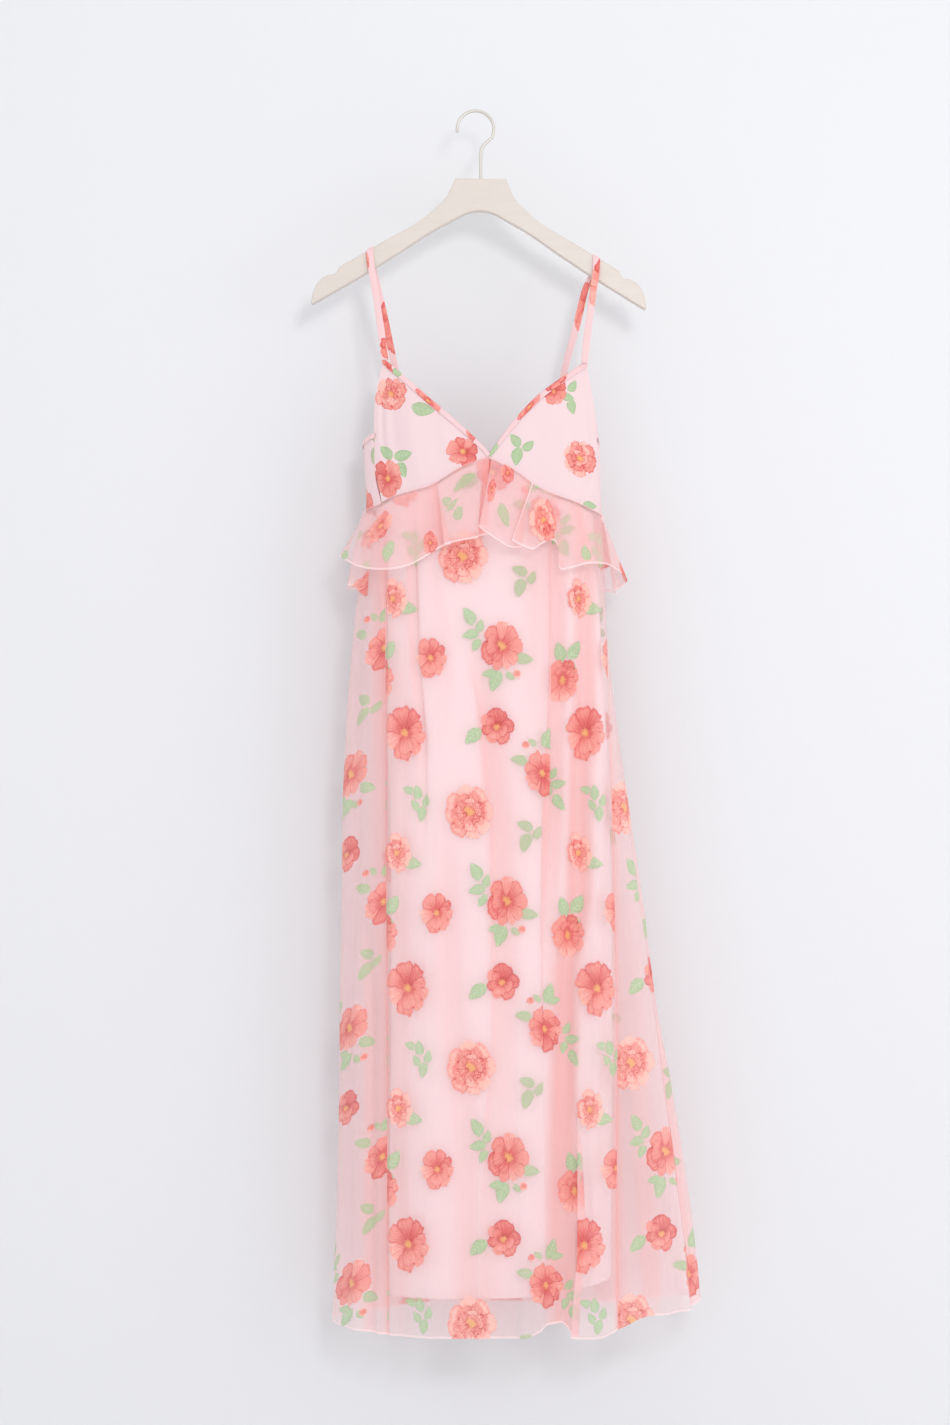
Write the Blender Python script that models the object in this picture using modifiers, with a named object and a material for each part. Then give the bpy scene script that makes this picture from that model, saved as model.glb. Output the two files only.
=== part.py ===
"""A strappy maxi dress hanging on a wooden hanger. +X is the viewer's right, -Y the front, +Z up.

The origin is the inside top of the hanger's hook, where a rail or peg would carry it.
Tables below are in millimetres; everything is turned into metres as its mesh is made.
"""

import math

import bpy
import numpy as np

MM = 0.001

# --- cloth -----------------------------------------------------------------------------------
CHIFFON_WALL = 1.2
LINING_WALL = 1.0
STRAP_WIDTH = 10.0
STRAP_WALL = 1.8
BINDING_WIDTH = 7.0
BINDING_WALL = 1.0
SEAM_GAP = 1.2
RUFFLE_STANDOFF = 3.4

# Outline of the hanging dress: height, left edge, right edge, half depth to the front, to the back.
LEFT_EDGE = (
    (-300, -141), (-430, -141.9), (-500, -138.5), (-560, -143), (-620, -150.6), (-745, -161.9),
    (-870, -168.1), (-995, -169.4), (-1120, -171.9), (-1245, -173.1), (-1370, -175.6), (-1545, -182),
)
RIGHT_EDGE = (
    (-300, 150), (-430, 156.5), (-500, 159.4), (-560, 162), (-645, 165.6), (-745, 175.6),
    (-870, 193.1), (-995, 211.9), (-1120, 228), (-1245, 250.6), (-1370, 270.6), (-1545, 291),
)
FRONT_DEPTH = ((-300, 23), (-440, 42), (-510, 44), (-700, 46), (-1100, 54), (-1545, 62))
BACK_DEPTH = ((-300, 23), (-426, 36), (-510, 40), (-700, 44), (-1100, 52), (-1545, 60))
SIDE_SQUARENESS = 3.2

# The two seams that join the front panels to the back ones, both seen from the front.
SEAM_LEFT = (
    (-300, -113), (-310, -114.4), (-345, -123.1), (-407, -125.6), (-470, -124.4), (-501, -115.6),
    (-560, -114.4), (-1545, -114.4),
)
SEAM_RIGHT = (
    (-300, 134), (-317, 138.1), (-370, 147.4), (-420, 154), (-470, 156.4), (-514, 157.8), (-570, 161),
    (-800, 170.6), (-995, 175.6), (-1200, 178.1), (-1334, 176.9), (-1545, 178),
)

# The empire seam, as height against x, in front and behind.
WAIST_FRONT = (
    (-145, -508), (-119, -502.2), (-103, -491), (-55.6, -478), (-22, -457), (16, -442),
    (54, -461), (97, -488), (125, -497), (162, -513.8),
)
WAIST_BACK = ((-145, -508), (-100, -517), (120, -520), (162, -513.8))

# The V neckline from each strap point to the point of the V, as x and height.
NECK_LEFT = ((-114.4, -313), (-53.4, -370.4), (-24.4, -395), (8, -425), (17.6, -436))
NECK_RIGHT = ((136.9, -317.5), (110.5, -337.5), (79.4, -361), (50.4, -391.5), (24.4, -427), (17.6, -436))
BACK_TOP = ((0, -408), (0.08, -420), (0.16, -426), (0.9, -427), (0.96, -424), (1, -412))

# Hem height against x, in front and behind.
HEM_FRONT = (
    (-182, -1530), (-115.6, -1538), (5.6, -1541), (65.6, -1538), (80, -1524), (112, -1522), (124, -1539),
    (158, -1540), (205.6, -1516), (276.9, -1510), (291, -1502),
)
HEM_BACK = ((-182, -1530), (-100, -1522), (180, -1518), (291, -1502))

# Folds of the skirt: path of the fold, its widths to left and right, and its depth, inwards positive.
SKIRT_FOLDS = (
    (((-500, 104), (-745, 100), (-995, 106), (-1245, 113), (-1370, 121), (-1545, 120)), 8, 19,
     ((-480, 0), (-560, 6), (-900, 8), (-1245, 9), (-1545, 12))),
    (((-480, -30), (-1545, -34)), 18, 26, ((-480, 0), (-700, 2.5), (-1545, 6))),
    (((-480, -72), (-1545, -78)), 12, 12, ((-480, 0), (-620, 2), (-1545, 4))),
    (((-480, 62), (-1545, 66)), 16, 14, ((-900, 0), (-1100, 3), (-1545, 6))),
    (((-480, 143), (-1545, 152)), 14, 14, ((-480, 0), (-700, -3), (-1545, -6))),
    (((-480, -114.4), (-1545, -114.4)), 15, 6, ((-505, 0), (-560, 6), (-745, 6), (-900, 3), (-1545, 3))),
    (((-700, 176), (-795, 180), (-1070, 221), (-1432, 270), (-1545, 281)), 5, 11,
     ((-700, 0), (-800, 2), (-1100, 5), (-1545, 6))),
)
BACK_FOLDS = (
    (((-520, -90), (-1545, -118)), 18, 24, ((-560, 0), (-1545, 9))),
    (((-520, -20), (-1545, -28)), 22, 22, ((-560, 0), (-1545, 12))),
    (((-520, 50), (-1545, 74)), 24, 18, ((-560, 0), (-1545, 10))),
    (((-520, 112), (-1545, 176)), 20, 24, ((-560, 0), (-1545, 11))),
)

# The slip lining under the skirt: left edge, right edge, and how far it lies inside the skirt.
LINING_LEFT = ((-500, -126), (-620, -120), (-800, -111), (-1545, -110))
LINING_RIGHT = ((-500, 148), (-620, 156), (-800, 166), (-1545, 172))
LINING_DROP = 12
LINING_INSET = ((-440, 4), (-560, 11), (-900, 13), (-1245, 14), (-1545, 17))
LINING_HEM = ((-126, -1494), (40, -1492), (100, -1488), (178, -1472))

# The front ruffle, row by row: x on the waist seam, then the hem's x, y and height below it.
RUFFLE_RIGHT_HAND = (
    (-137.5, -170, -8, -566), (-128, -163, -30, -572), (-115, -144, -50, -578), (-100, -122, -60, -579),
    (-84, -97, -62, -574), (-70, -77, -60, -567), (-60, -59, -57, -556), (-52, -49, -59, -552),
    (-45, -37, -68, -554), (-28, -18, -72, -547), (-10, -3, -67, -541), (2, 1, -60, -538),
    (11.4, 6, -60, -538),
)
RUFFLE_LEFT_HAND = (
    (12.4, 10, -64, -541), (22, 16, -70, -545), (38, 31, -74, -552), (54, 46, -71, -557),
    (66, 57, -64, -552), (74, 66, -72, -558), (84, 78, -66, -553), (92, 90, -61, -552),
    (100, 104, -62, -578), (117, 131, -60, -579), (135, 156, -50, -574), (148, 178, -32, -586),
    (156, 192, -10, -594),
)
RUFFLE_BACK_DEPTH = 94
RUFFLE_BACK_FLARE = 21
RUFFLE_BACK_FLUTES = 5
RUFFLE_BACK_WAVE = 5

# Straps: bottom at the front, the way up, where it crosses the hanger, the way down, bottom behind.
STRAP_RIGHT_HAND = (
    ((-115.2, -19.6, -309.6), (-119, -16.8, -280), (-127, -12.6, -225), (-132.4, -9.4, -193)),
    -133.7,
    ((-130.5, 9.6, -195), (-117.5, 15, -251), (-105, 24, -309), (-92, 33.6, -370), (-81.5, 39.2, -424)),
)
STRAP_LEFT_HAND = (
    ((137.6, -20.6, -316.4), (141, -17.4, -285), (149, -12.6, -226), (152.4, -9.4, -201)),
    152.9,
    ((149.6, 9.6, -203), (140.5, 14, -238), (125, 22, -282), (116, 30.8, -338), (95.6, 39.2, -424.6)),
)

# --- hanger ----------------------------------------------------------------------------------
HANGER_CENTRE_X = 6.6
HANGER_TOP_Z = -85.1
HANGER_TILT = math.radians(0.9)
HANGER_THICKNESS = 13.0
HANGER_ROUNDING = 1.2
HANGER_EDGE_TOP = (
    (32.3, 0), (41.9, -21.8), (56.7, -37.8), (77.4, -55.5), (104, -71), (130.6, -86.2), (178.7, -115.6),
)
HANGER_NOTCH = ((179.6, -119.6), (183.6, -123.9), (188.2, -124), (190.4, -124.2))
HANGER_TIP = ((199, -128.8), (204.6, -134.6), (208.4, -142), (211.6, -152), (212.3, -160.4))
HANGER_EDGE_LOW = (
    (209.4, -161.8), (146.4, -124), (100, -94.2), (71, -74.2), (38, -55.2), (20.3, -45.2), (8, -41.6),
)
HOOK_WIRE_RADIUS = 2.0
HOOK_RADIUS = 23.2
HOOK_START, HOOK_END = math.radians(-36), math.radians(183)
HOOK_STEM = ((6.6, -84.6), (6.6, -52), (7.4, -47.4), (10.2, -42.2))


def smooth(table, at):
    """Height or width read from a table of (place, value), as a smooth curve through its points."""
    rows = sorted(table)
    place = np.array([row[0] for row in rows], float)
    value = np.array([row[1] for row in rows], float)
    slope = np.gradient(value, place)
    at = np.clip(np.asarray(at, float), place[0], place[-1])
    cell = np.clip(np.searchsorted(place, at) - 1, 0, len(place) - 2)
    width = place[cell + 1] - place[cell]
    t = (at - place[cell]) / width
    start = (1 + 2 * t) * (1 - t) ** 2 * value[cell] + t * (1 - t) ** 2 * width * slope[cell]
    end = t * t * (3 - 2 * t) * value[cell + 1] + t * t * (t - 1) * width * slope[cell + 1]
    return start + end


def straight(table, at):
    """A table of (place, value) read with straight lines between its points."""
    rows = sorted(table)
    return np.interp(at, [row[0] for row in rows], [row[1] for row in rows])


def skin_y(x, z, side):
    """Where the plain skin of the dress lies at x and z, in front (side -1) or behind (side 1)."""
    left, right = smooth(LEFT_EDGE, z), smooth(RIGHT_EDGE, z)
    across = np.clip(np.abs(2 * x - left - right) / (right - left), 0, 1)
    depth = smooth(FRONT_DEPTH if side < 0 else BACK_DEPTH, z)
    return side * depth * np.sqrt(1 - across**SIDE_SQUARENESS)


def stand_off(x, z, side, out):
    """The point that stands out from the plain skin at x and z, square to it."""
    left, right = smooth(LEFT_EDGE, z), smooth(RIGHT_EDGE, z)
    half = (right - left) / 2
    across = np.clip((x - (left + right) / 2) / half, -0.998, 0.998)
    depth = smooth(FRONT_DEPTH if side < 0 else BACK_DEPTH, z)
    skin = side * depth * np.sqrt(1 - np.abs(across) ** SIDE_SQUARENESS)
    aside = SIDE_SQUARENESS * np.abs(across) ** (SIDE_SQUARENESS - 1) * np.sign(across) / half
    ahead = 2 * skin / depth**2
    length = np.hypot(aside, ahead)
    return x + out * aside / length, skin + out * ahead / length


def fold_depth(folds, x, z):
    """How far the folds press the cloth inwards at x and z."""
    total = np.zeros_like(x)
    for path, left_width, right_width, depth in folds:
        off = x - straight(path, z)
        width = np.where(off < 0, left_width, right_width)
        total += straight(depth, z) * np.exp(-((off / width) ** 2))
    return total


def level_path(z, part, left, right):
    """One level of the dress as a line seen from above: its front panel, or the rest of the way round."""
    turn = np.linspace(0, math.pi, 241)
    reach = -np.cos(turn)
    middle, half = (left + right) / 2, (right - left) / 2
    x = middle + half * np.sign(reach) * np.abs(reach) ** (2 / SIDE_SQUARENESS)
    front = np.column_stack([x, -smooth(FRONT_DEPTH, z) * np.sin(turn)])
    back = np.column_stack([x, smooth(BACK_DEPTH, z) * np.sin(turn)])[::-1]
    start = float(smooth(SEAM_LEFT, z))
    end = min(float(smooth(SEAM_RIGHT, z)), right - 1.5)
    if part == "front":
        return cut_between(front, start, end)
    return np.vstack([cut_between(front, end, right), back[1:-1], cut_between(front, left, start)])


def cut_between(line, low, high):
    """The part of a left to right line that lies between two x places, with both ends on it."""
    inside = line[(line[:, 0] > low + 0.05) & (line[:, 0] < high - 0.05)]
    ends = [(x, np.interp(x, line[:, 0], line[:, 1])) for x in (low, high)]
    return np.vstack([ends[:1], inside, ends[1:]])


def even_points(line, count, trim):
    """Points at even steps along a line, and the outward normal at each, with the ends trimmed."""
    steps = np.hypot(*np.diff(line, axis=0).T)
    along = np.concatenate([[0], np.cumsum(steps)])
    at = np.linspace(trim, along[-1] - trim, count)
    point = np.column_stack([np.interp(at, along, line[:, i]) for i in (0, 1)])
    ahead = np.column_stack([np.interp(at + 0.5, along, line[:, i]) for i in (0, 1)])
    behind = np.column_stack([np.interp(at - 0.5, along, line[:, i]) for i in (0, 1)])
    run = ahead - behind
    run /= np.linalg.norm(run, axis=1)[:, None]
    return point, np.column_stack([run[:, 1], -run[:, 0]])


def tube_rows(part, count, rows, top, bottom, edges=(LEFT_EDGE, RIGHT_EDGE), inset=None, folds=True):
    """Rows of points down one part of the tube. top and bottom give each row's ends from x and side."""
    grid = []
    for row in rows:
        points = []
        for column in range(count):
            z = -1000.0
            for _ in range(4):
                point, normal = column_point(part, count, column, z, edges)
                side = 1 if normal[1] > 0 else -1
                low, high = bottom(point[0], side), top(point[0], side)
                z = high + (low - high) * row
            push = 0.0
            if folds:
                chosen = SKIRT_FOLDS if side < 0 else BACK_FOLDS
                push = float(fold_depth(chosen, np.array([point[0]]), z)[0]) * min(1, abs(normal[1]) * 2)
            if inset is not None:
                push += float(smooth(inset, z))
            points.append((point[0] - normal[0] * push, point[1] - normal[1] * push, z))
        grid.append(points)
    return grid


LEVELS = {}


def column_point(part, count, column, z, edges):
    """A point of the tube's plan at one height, read between two stored levels."""
    step = 12.0
    low = math.floor(z / step) * step
    mix = (z - low) / step
    found = []
    for level in (low, low + step):
        key = (part, count, level, id(edges))
        if key not in LEVELS:
            left, right = float(smooth(edges[0], level)), float(smooth(edges[1], level))
            LEVELS[key] = even_points(level_path(level, part, left, right), count, SEAM_GAP / 2)
        found.append([LEVELS[key][i][column] for i in (0, 1)])
    point = found[0][0] * (1 - mix) + found[1][0] * mix
    normal = found[0][1] * (1 - mix) + found[1][1] * mix
    return point, normal / np.linalg.norm(normal)


def lining_rows(side, count, rows):
    """Rows of points down the front or the back half of the lining, a plain flattened tube."""
    grid = []
    turn = np.linspace(0.02, math.pi - 0.02, count)
    reach = -np.cos(turn)
    spread = np.sign(reach) * np.abs(reach) ** (2 / SIDE_SQUARENESS)
    for row in rows:
        points = []
        for column in range(count):
            z = -1000.0
            for _ in range(4):
                left, right = smooth(LINING_LEFT, z), smooth(LINING_RIGHT, z)
                x = (left + right) / 2 + (right - left) / 2 * spread[column]
                waist = WAIST_FRONT if side < 0 else WAIST_BACK
                high = straight(waist, x) - LINING_DROP
                z = float(high + (straight(LINING_HEM, x) - high) * row)
            depth = smooth(FRONT_DEPTH if side < 0 else BACK_DEPTH, z) - smooth(LINING_INSET, z)
            points.append((float(x), float(side * (depth * math.sin(turn[column]) ** 0.8 + SEAM_GAP)), z))
        grid.append(points if side < 0 else points[::-1])
    return grid


def cup_rows(neck, outer, waist_from, waist_to, columns, rows):
    """A cup: its top runs down the neckline, its bottom along the empire seam."""
    neck_line = np.array(neck, float)
    run = np.concatenate([[0], np.cumsum(np.hypot(*np.diff(neck_line, axis=0).T))])
    grid = []
    for v in rows:
        points = []
        for u in np.linspace(0, 1, columns):
            at = u * run[-1]
            top = np.array([np.interp(at, run, neck_line[:, 0]), np.interp(at, run, neck_line[:, 1])])
            low_x = waist_from + (waist_to - waist_from) * u
            low = np.array([low_x, straight(WAIST_FRONT, low_x) + SEAM_GAP])
            place = top + (low - top) * v
            edge = float(smooth(outer, place[1])) - place[0]
            place[0] += edge * (1 - u) ** 3 * math.sin(math.pi * v) ** 0.5
            place[0] += math.copysign(SEAM_GAP / 2, neck[-1][0] - neck[0][0]) * (1 - u) ** 3
            y = float(skin_y(place[0], place[1], -1))
            points.append((place[0], y - 1.5 * math.sin(math.pi * u) * math.sin(math.pi * v), place[1]))
        grid.append(points)
    return grid


def ruffle_rows(table, columns, rows):
    """A front ruffle from the waist seam to a hem that is placed by hand."""
    place = np.linspace(0, len(table) - 1, columns)
    cells = np.arange(len(table))
    seam_x, hem_x, hem_y, hem_z = (np.interp(place, cells, [row[i] for row in table]) for i in range(4))
    seam_z = straight(WAIST_FRONT, seam_x) + 1.5
    seam_x, seam_y = stand_off(seam_x, seam_z, -1, RUFFLE_STANDOFF)
    grid = []
    for v in rows:
        out = v**0.8
        x = seam_x + (hem_x - seam_x) * v
        y = seam_y + (hem_y - seam_y) * out
        z = seam_z + (hem_z - seam_z) * v
        grid.append([tuple(map(float, p)) for p in zip(x, y, z)])
    return grid


def back_ruffle_rows(columns, rows):
    """The ruffle behind, from one side of the dress round the back to the other."""
    grid = []
    for v in rows:
        points = []
        for u in np.linspace(0, 1, columns):
            angle = math.radians(8) + (math.pi - math.radians(16)) * u
            left, right = -139.0, 159.0
            reach = math.cos(angle)
            x = (left + right) / 2 + (right - left) / 2 * math.copysign(abs(reach) ** 0.7, reach)
            z = float(straight(WAIST_BACK, x)) + 1.5
            y = float(skin_y(x, z, 1))
            out = RUFFLE_STANDOFF + (RUFFLE_BACK_FLARE - RUFFLE_STANDOFF) * v**0.8
            out += RUFFLE_BACK_WAVE * v * math.sin(2 * math.pi * RUFFLE_BACK_FLUTES * u)
            aside, behind = reach * 0.9, math.sqrt(1 - (reach * 0.9) ** 2)
            points.append((x + aside * out, y + behind * out, z - RUFFLE_BACK_DEPTH * v))
        grid.append(points)
    return grid


def binding_rows(rows_of_cup, width, wall_from, wall):
    """A band laid on the outside of a panel, just below its top row."""
    top, below = np.array(rows_of_cup[0], float), np.array(rows_of_cup[1], float)
    down = below - top
    down /= np.linalg.norm(down, axis=1)[:, None]
    along = np.gradient(top, axis=0)
    out = np.cross(down, along)
    out /= np.linalg.norm(out, axis=1)[:, None]
    lift = (wall_from + wall) / 2 + 0.4
    grid = []
    for v in (0.0, 0.5, 1.0):
        grid.append([tuple(p) for p in top + down * width * v + out * lift])
    return grid


def hanger_top(x):
    """Height of the hanger's upper edge at x, tilt and all."""
    edge = HANGER_EDGE_TOP + HANGER_NOTCH + HANGER_TIP
    below = -90.0
    for _ in range(3):
        local = x - HANGER_CENTRE_X - below * math.sin(HANGER_TILT)
        below = float(straight(edge, abs(local)))
    return HANGER_TOP_Z + below - local * math.sin(HANGER_TILT)


def strap_rows(strap):
    """A flat strap from the cup, over the hanger and down to the back, as pairs of points."""
    front, cross_x, back = strap
    slope = (hanger_top(cross_x + 4) - hanger_top(cross_x - 4)) / 8
    over = HANGER_THICKNESS / 2 + STRAP_WALL / 2 + 0.7
    top = hanger_top(cross_x) + STRAP_WALL / 2 + 0.8
    level = []
    for y, z in ((-over, top - 9), (-over, top - 3.4), (-over * 0.72, top), (0, top + 0.5)):
        level.append((cross_x, y, z))
    level += [(cross_x, -y, z) for _, y, z in level[-2::-1]]
    path = [(point, 0.0) for point in front] + [(point, slope) for point in level]
    path += [(point, 0.0) for point in back]
    centres = np.array([point for point, _ in path], float)
    run = np.gradient(centres, axis=0)
    pairs = []
    for i, (centre, lean) in enumerate(zip(centres, (row[1] for row in path))):
        across = np.array([1.0, 0, lean])
        if lean == 0.0:
            across = np.array([abs(run[i][2]), 0, -run[i][0] * np.sign(run[i][2])])
        across *= STRAP_WIDTH / 2 / np.linalg.norm(across)
        pairs.append([tuple(centre - across), tuple(centre), tuple(centre + across)])
    return pairs


def material(name, colour, roughness, metallic=0.0):
    """A plain Principled material."""
    made = bpy.data.materials.new(name)
    made.use_nodes = True
    shader = made.node_tree.nodes["Principled BSDF"]
    shader.inputs["Base Color"].default_value = (*colour, 1)
    shader.inputs["Roughness"].default_value = roughness
    shader.inputs["Metallic"].default_value = metallic
    made.diffuse_color = (*colour, 1)
    return made


def sheet(name, grid, wall, look):
    """A cloth panel: a grid of points made into an open surface, then given its thickness."""
    rows, columns = len(grid), len(grid[0])
    points = [tuple(value * MM for value in point) for row in grid for point in row]
    faces = []
    for r in range(rows - 1):
        for c in range(columns - 1):
            first = r * columns + c
            faces.append((first, first + columns, first + columns + 1, first + 1))
    mesh = bpy.data.meshes.new(name)
    mesh.from_pydata(points, [], faces)
    mesh.materials.append(look)
    made = bpy.data.objects.new(name, mesh)
    parts.objects.link(made)
    solid = made.modifiers.new("wall", "SOLIDIFY")
    solid.thickness = wall * MM
    solid.offset = 0
    return made


def hanger_body(look):
    """The wooden hanger: an outline filled on both sides, extruded and rounded, then stood up."""
    right = list(HANGER_EDGE_TOP + HANGER_NOTCH + HANGER_TIP + HANGER_EDGE_LOW)
    outline = right + [(0, -41)] + [(-x, z) for x, z in reversed(right)]
    curve = bpy.data.curves.new("hanger_body", "CURVE")
    curve.dimensions = "2D"
    curve.fill_mode = "BOTH"
    curve.extrude = (HANGER_THICKNESS / 2 - HANGER_ROUNDING) * MM
    curve.bevel_depth = HANGER_ROUNDING * MM
    curve.bevel_resolution = 1
    curve.offset = -HANGER_ROUNDING * MM
    spline = curve.splines.new("POLY")
    spline.points.add(len(outline) - 1)
    for point, (x, z) in zip(spline.points, outline):
        point.co = (x * MM, z * MM, 0, 1)
    spline.use_cyclic_u = True
    curve.materials.append(look)
    made = bpy.data.objects.new("hanger_body", curve)
    made.location = (HANGER_CENTRE_X * MM, 0, HANGER_TOP_Z * MM)
    made.rotation_euler = (math.pi / 2, HANGER_TILT, 0)
    parts.objects.link(made)
    return made


def hanger_hook(look):
    """The wire hook: a stem, a short sweep aside and an open ring."""
    line = list(HOOK_STEM)
    centre_z = HOOK_WIRE_RADIUS - HOOK_RADIUS
    for i in range(21):
        angle = HOOK_START + (HOOK_END - HOOK_START) * i / 20
        line.append((HOOK_RADIUS * math.cos(angle), centre_z + HOOK_RADIUS * math.sin(angle)))
    curve = bpy.data.curves.new("hanger_hook", "CURVE")
    curve.dimensions = "3D"
    curve.bevel_depth = HOOK_WIRE_RADIUS * MM
    curve.bevel_resolution = 2
    curve.use_fill_caps = True
    spline = curve.splines.new("POLY")
    spline.points.add(len(line) - 1)
    for point, (x, z) in zip(spline.points, line):
        point.co = (x * MM, 0, z * MM, 1)
    curve.materials.append(look)
    made = bpy.data.objects.new("hanger_hook", curve)
    parts.objects.link(made)
    return made


def steps(count, power=1.0):
    """Values from 0 to 1, closer together at the start when power is over 1."""
    return [(i / count) ** power for i in range(count + 1)]


def waist_line(gap):
    """The height of the skirt's top edge at x, in front or behind."""
    return lambda x, side: float(straight(WAIST_FRONT if side < 0 else WAIST_BACK, x)) - gap


def hem_line(x, side):
    """The height of the skirt's hem at x, in front or behind."""
    return float(straight(HEM_FRONT if side < 0 else HEM_BACK, x))


def back_bodice_rows(count, rows):
    """The back of the bodice, from one cup's side edge round the back to the other's."""
    grid = []
    for v in rows:
        points = []
        for column in range(count):
            high = float(straight(BACK_TOP, 1 - column / (count - 1)))
            z = high - 1.0
            for _ in range(4):
                point, normal = column_point("back", count, column, z, BODY)
                waist = WAIST_BACK if normal[1] > 0 else WAIST_FRONT
                low = float(straight(waist, point[0])) + SEAM_GAP
                z = high + (low - high) * v
            points.append((float(point[0]), float(point[1]), z))
        grid.append(points)
    return grid


for old in list(bpy.data.objects):
    bpy.data.objects.remove(old)
parts = bpy.data.collections.new("maxi_dress_on_hanger")
bpy.context.scene.collection.children.link(parts)
BODY = (LEFT_EDGE, RIGHT_EDGE)

chiffon = material("printed_chiffon", (0.91, 0.66, 0.67), 0.7)
slip = material("lining_cloth", (0.95, 0.84, 0.84), 0.6)
wood = material("painted_wood", (0.80, 0.75, 0.68), 0.45)
wire = material("hook_wire", (0.86, 0.84, 0.80), 0.3, 0.6)

hanger_body(wood)
hanger_hook(wire)

cup_right = cup_rows(NECK_LEFT, SEAM_LEFT, -115.2, 15.4, 10, steps(7))
cup_left = [row[::-1] for row in cup_rows(NECK_RIGHT, SEAM_RIGHT, 157.4, 16.6, 10, steps(7))]
for row in cup_right:
    row[-1] = (row[-1][0] - SEAM_GAP / 2, row[-1][1], row[-1][2])
for row in cup_left:
    row[0] = (row[0][0] + SEAM_GAP / 2, row[0][1], row[0][2])
sheet("bodice_front_right", cup_right, CHIFFON_WALL, chiffon)
sheet("bodice_front_left", cup_left, CHIFFON_WALL, chiffon)
back = back_bodice_rows(30, steps(4))
sheet("bodice_back", back, CHIFFON_WALL, chiffon)

bound = (("neck_binding_right", cup_right), ("neck_binding_left", cup_left), ("back_binding", back))
for name, panel in bound:
    sheet(name, binding_rows(panel, BINDING_WIDTH, CHIFFON_WALL, BINDING_WALL), BINDING_WALL, chiffon)
sheet("strap_right", strap_rows(STRAP_RIGHT_HAND), STRAP_WALL, chiffon)
sheet("strap_left", strap_rows(STRAP_LEFT_HAND), STRAP_WALL, chiffon)

sheet("ruffle_front_right", ruffle_rows(RUFFLE_RIGHT_HAND, 25, steps(4)), CHIFFON_WALL, chiffon)
sheet("ruffle_front_left", ruffle_rows(RUFFLE_LEFT_HAND, 25, steps(4)), CHIFFON_WALL, chiffon)
sheet("ruffle_back", back_ruffle_rows(36, steps(3)), CHIFFON_WALL, chiffon)

for name, columns in (("front", 38), ("back", 52)):
    panel = tube_rows(name, columns, steps(11), waist_line(SEAM_GAP), hem_line, BODY)
    sheet("skirt_" + name, panel, CHIFFON_WALL, chiffon)
sheet("lining_front", lining_rows(-1, 22, steps(6)), LINING_WALL, slip)
sheet("lining_back", lining_rows(1, 22, steps(6)), LINING_WALL, slip)
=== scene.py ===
"""Looks for a strappy maxi dress in rose-printed chiffon, hanging on a painted wooden hanger.

The front faces -Y and +X is the viewer's right. Sizes in the classes are millimetres unless a name
ends in _m, and they become metres where a mesh is made.
"""

import logging
import math
from dataclasses import dataclass, field
from enum import Enum
from typing import Callable, Iterable, Optional, Sequence, Union

import bpy
import numpy as np
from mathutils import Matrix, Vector


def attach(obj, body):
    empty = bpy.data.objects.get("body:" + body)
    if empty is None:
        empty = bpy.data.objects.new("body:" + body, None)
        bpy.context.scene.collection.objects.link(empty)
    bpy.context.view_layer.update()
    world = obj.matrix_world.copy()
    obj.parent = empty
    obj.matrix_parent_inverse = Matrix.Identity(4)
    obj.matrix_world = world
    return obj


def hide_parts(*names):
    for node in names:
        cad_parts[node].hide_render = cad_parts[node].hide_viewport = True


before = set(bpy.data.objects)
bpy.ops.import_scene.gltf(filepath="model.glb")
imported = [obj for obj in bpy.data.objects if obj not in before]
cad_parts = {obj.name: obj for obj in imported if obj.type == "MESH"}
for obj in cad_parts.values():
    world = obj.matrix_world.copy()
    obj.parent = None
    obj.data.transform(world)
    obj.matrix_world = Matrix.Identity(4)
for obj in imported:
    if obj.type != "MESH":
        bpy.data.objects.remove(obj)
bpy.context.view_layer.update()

LOG = logging.getLogger("dress")
MM = 0.001
ROOT = "root"
Table = Sequence[tuple[float, float]]
Colour = tuple[float, float, float]
Number = Union["Signal", float]


# --- shader maths ------------------------------------------------------------------------------


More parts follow.
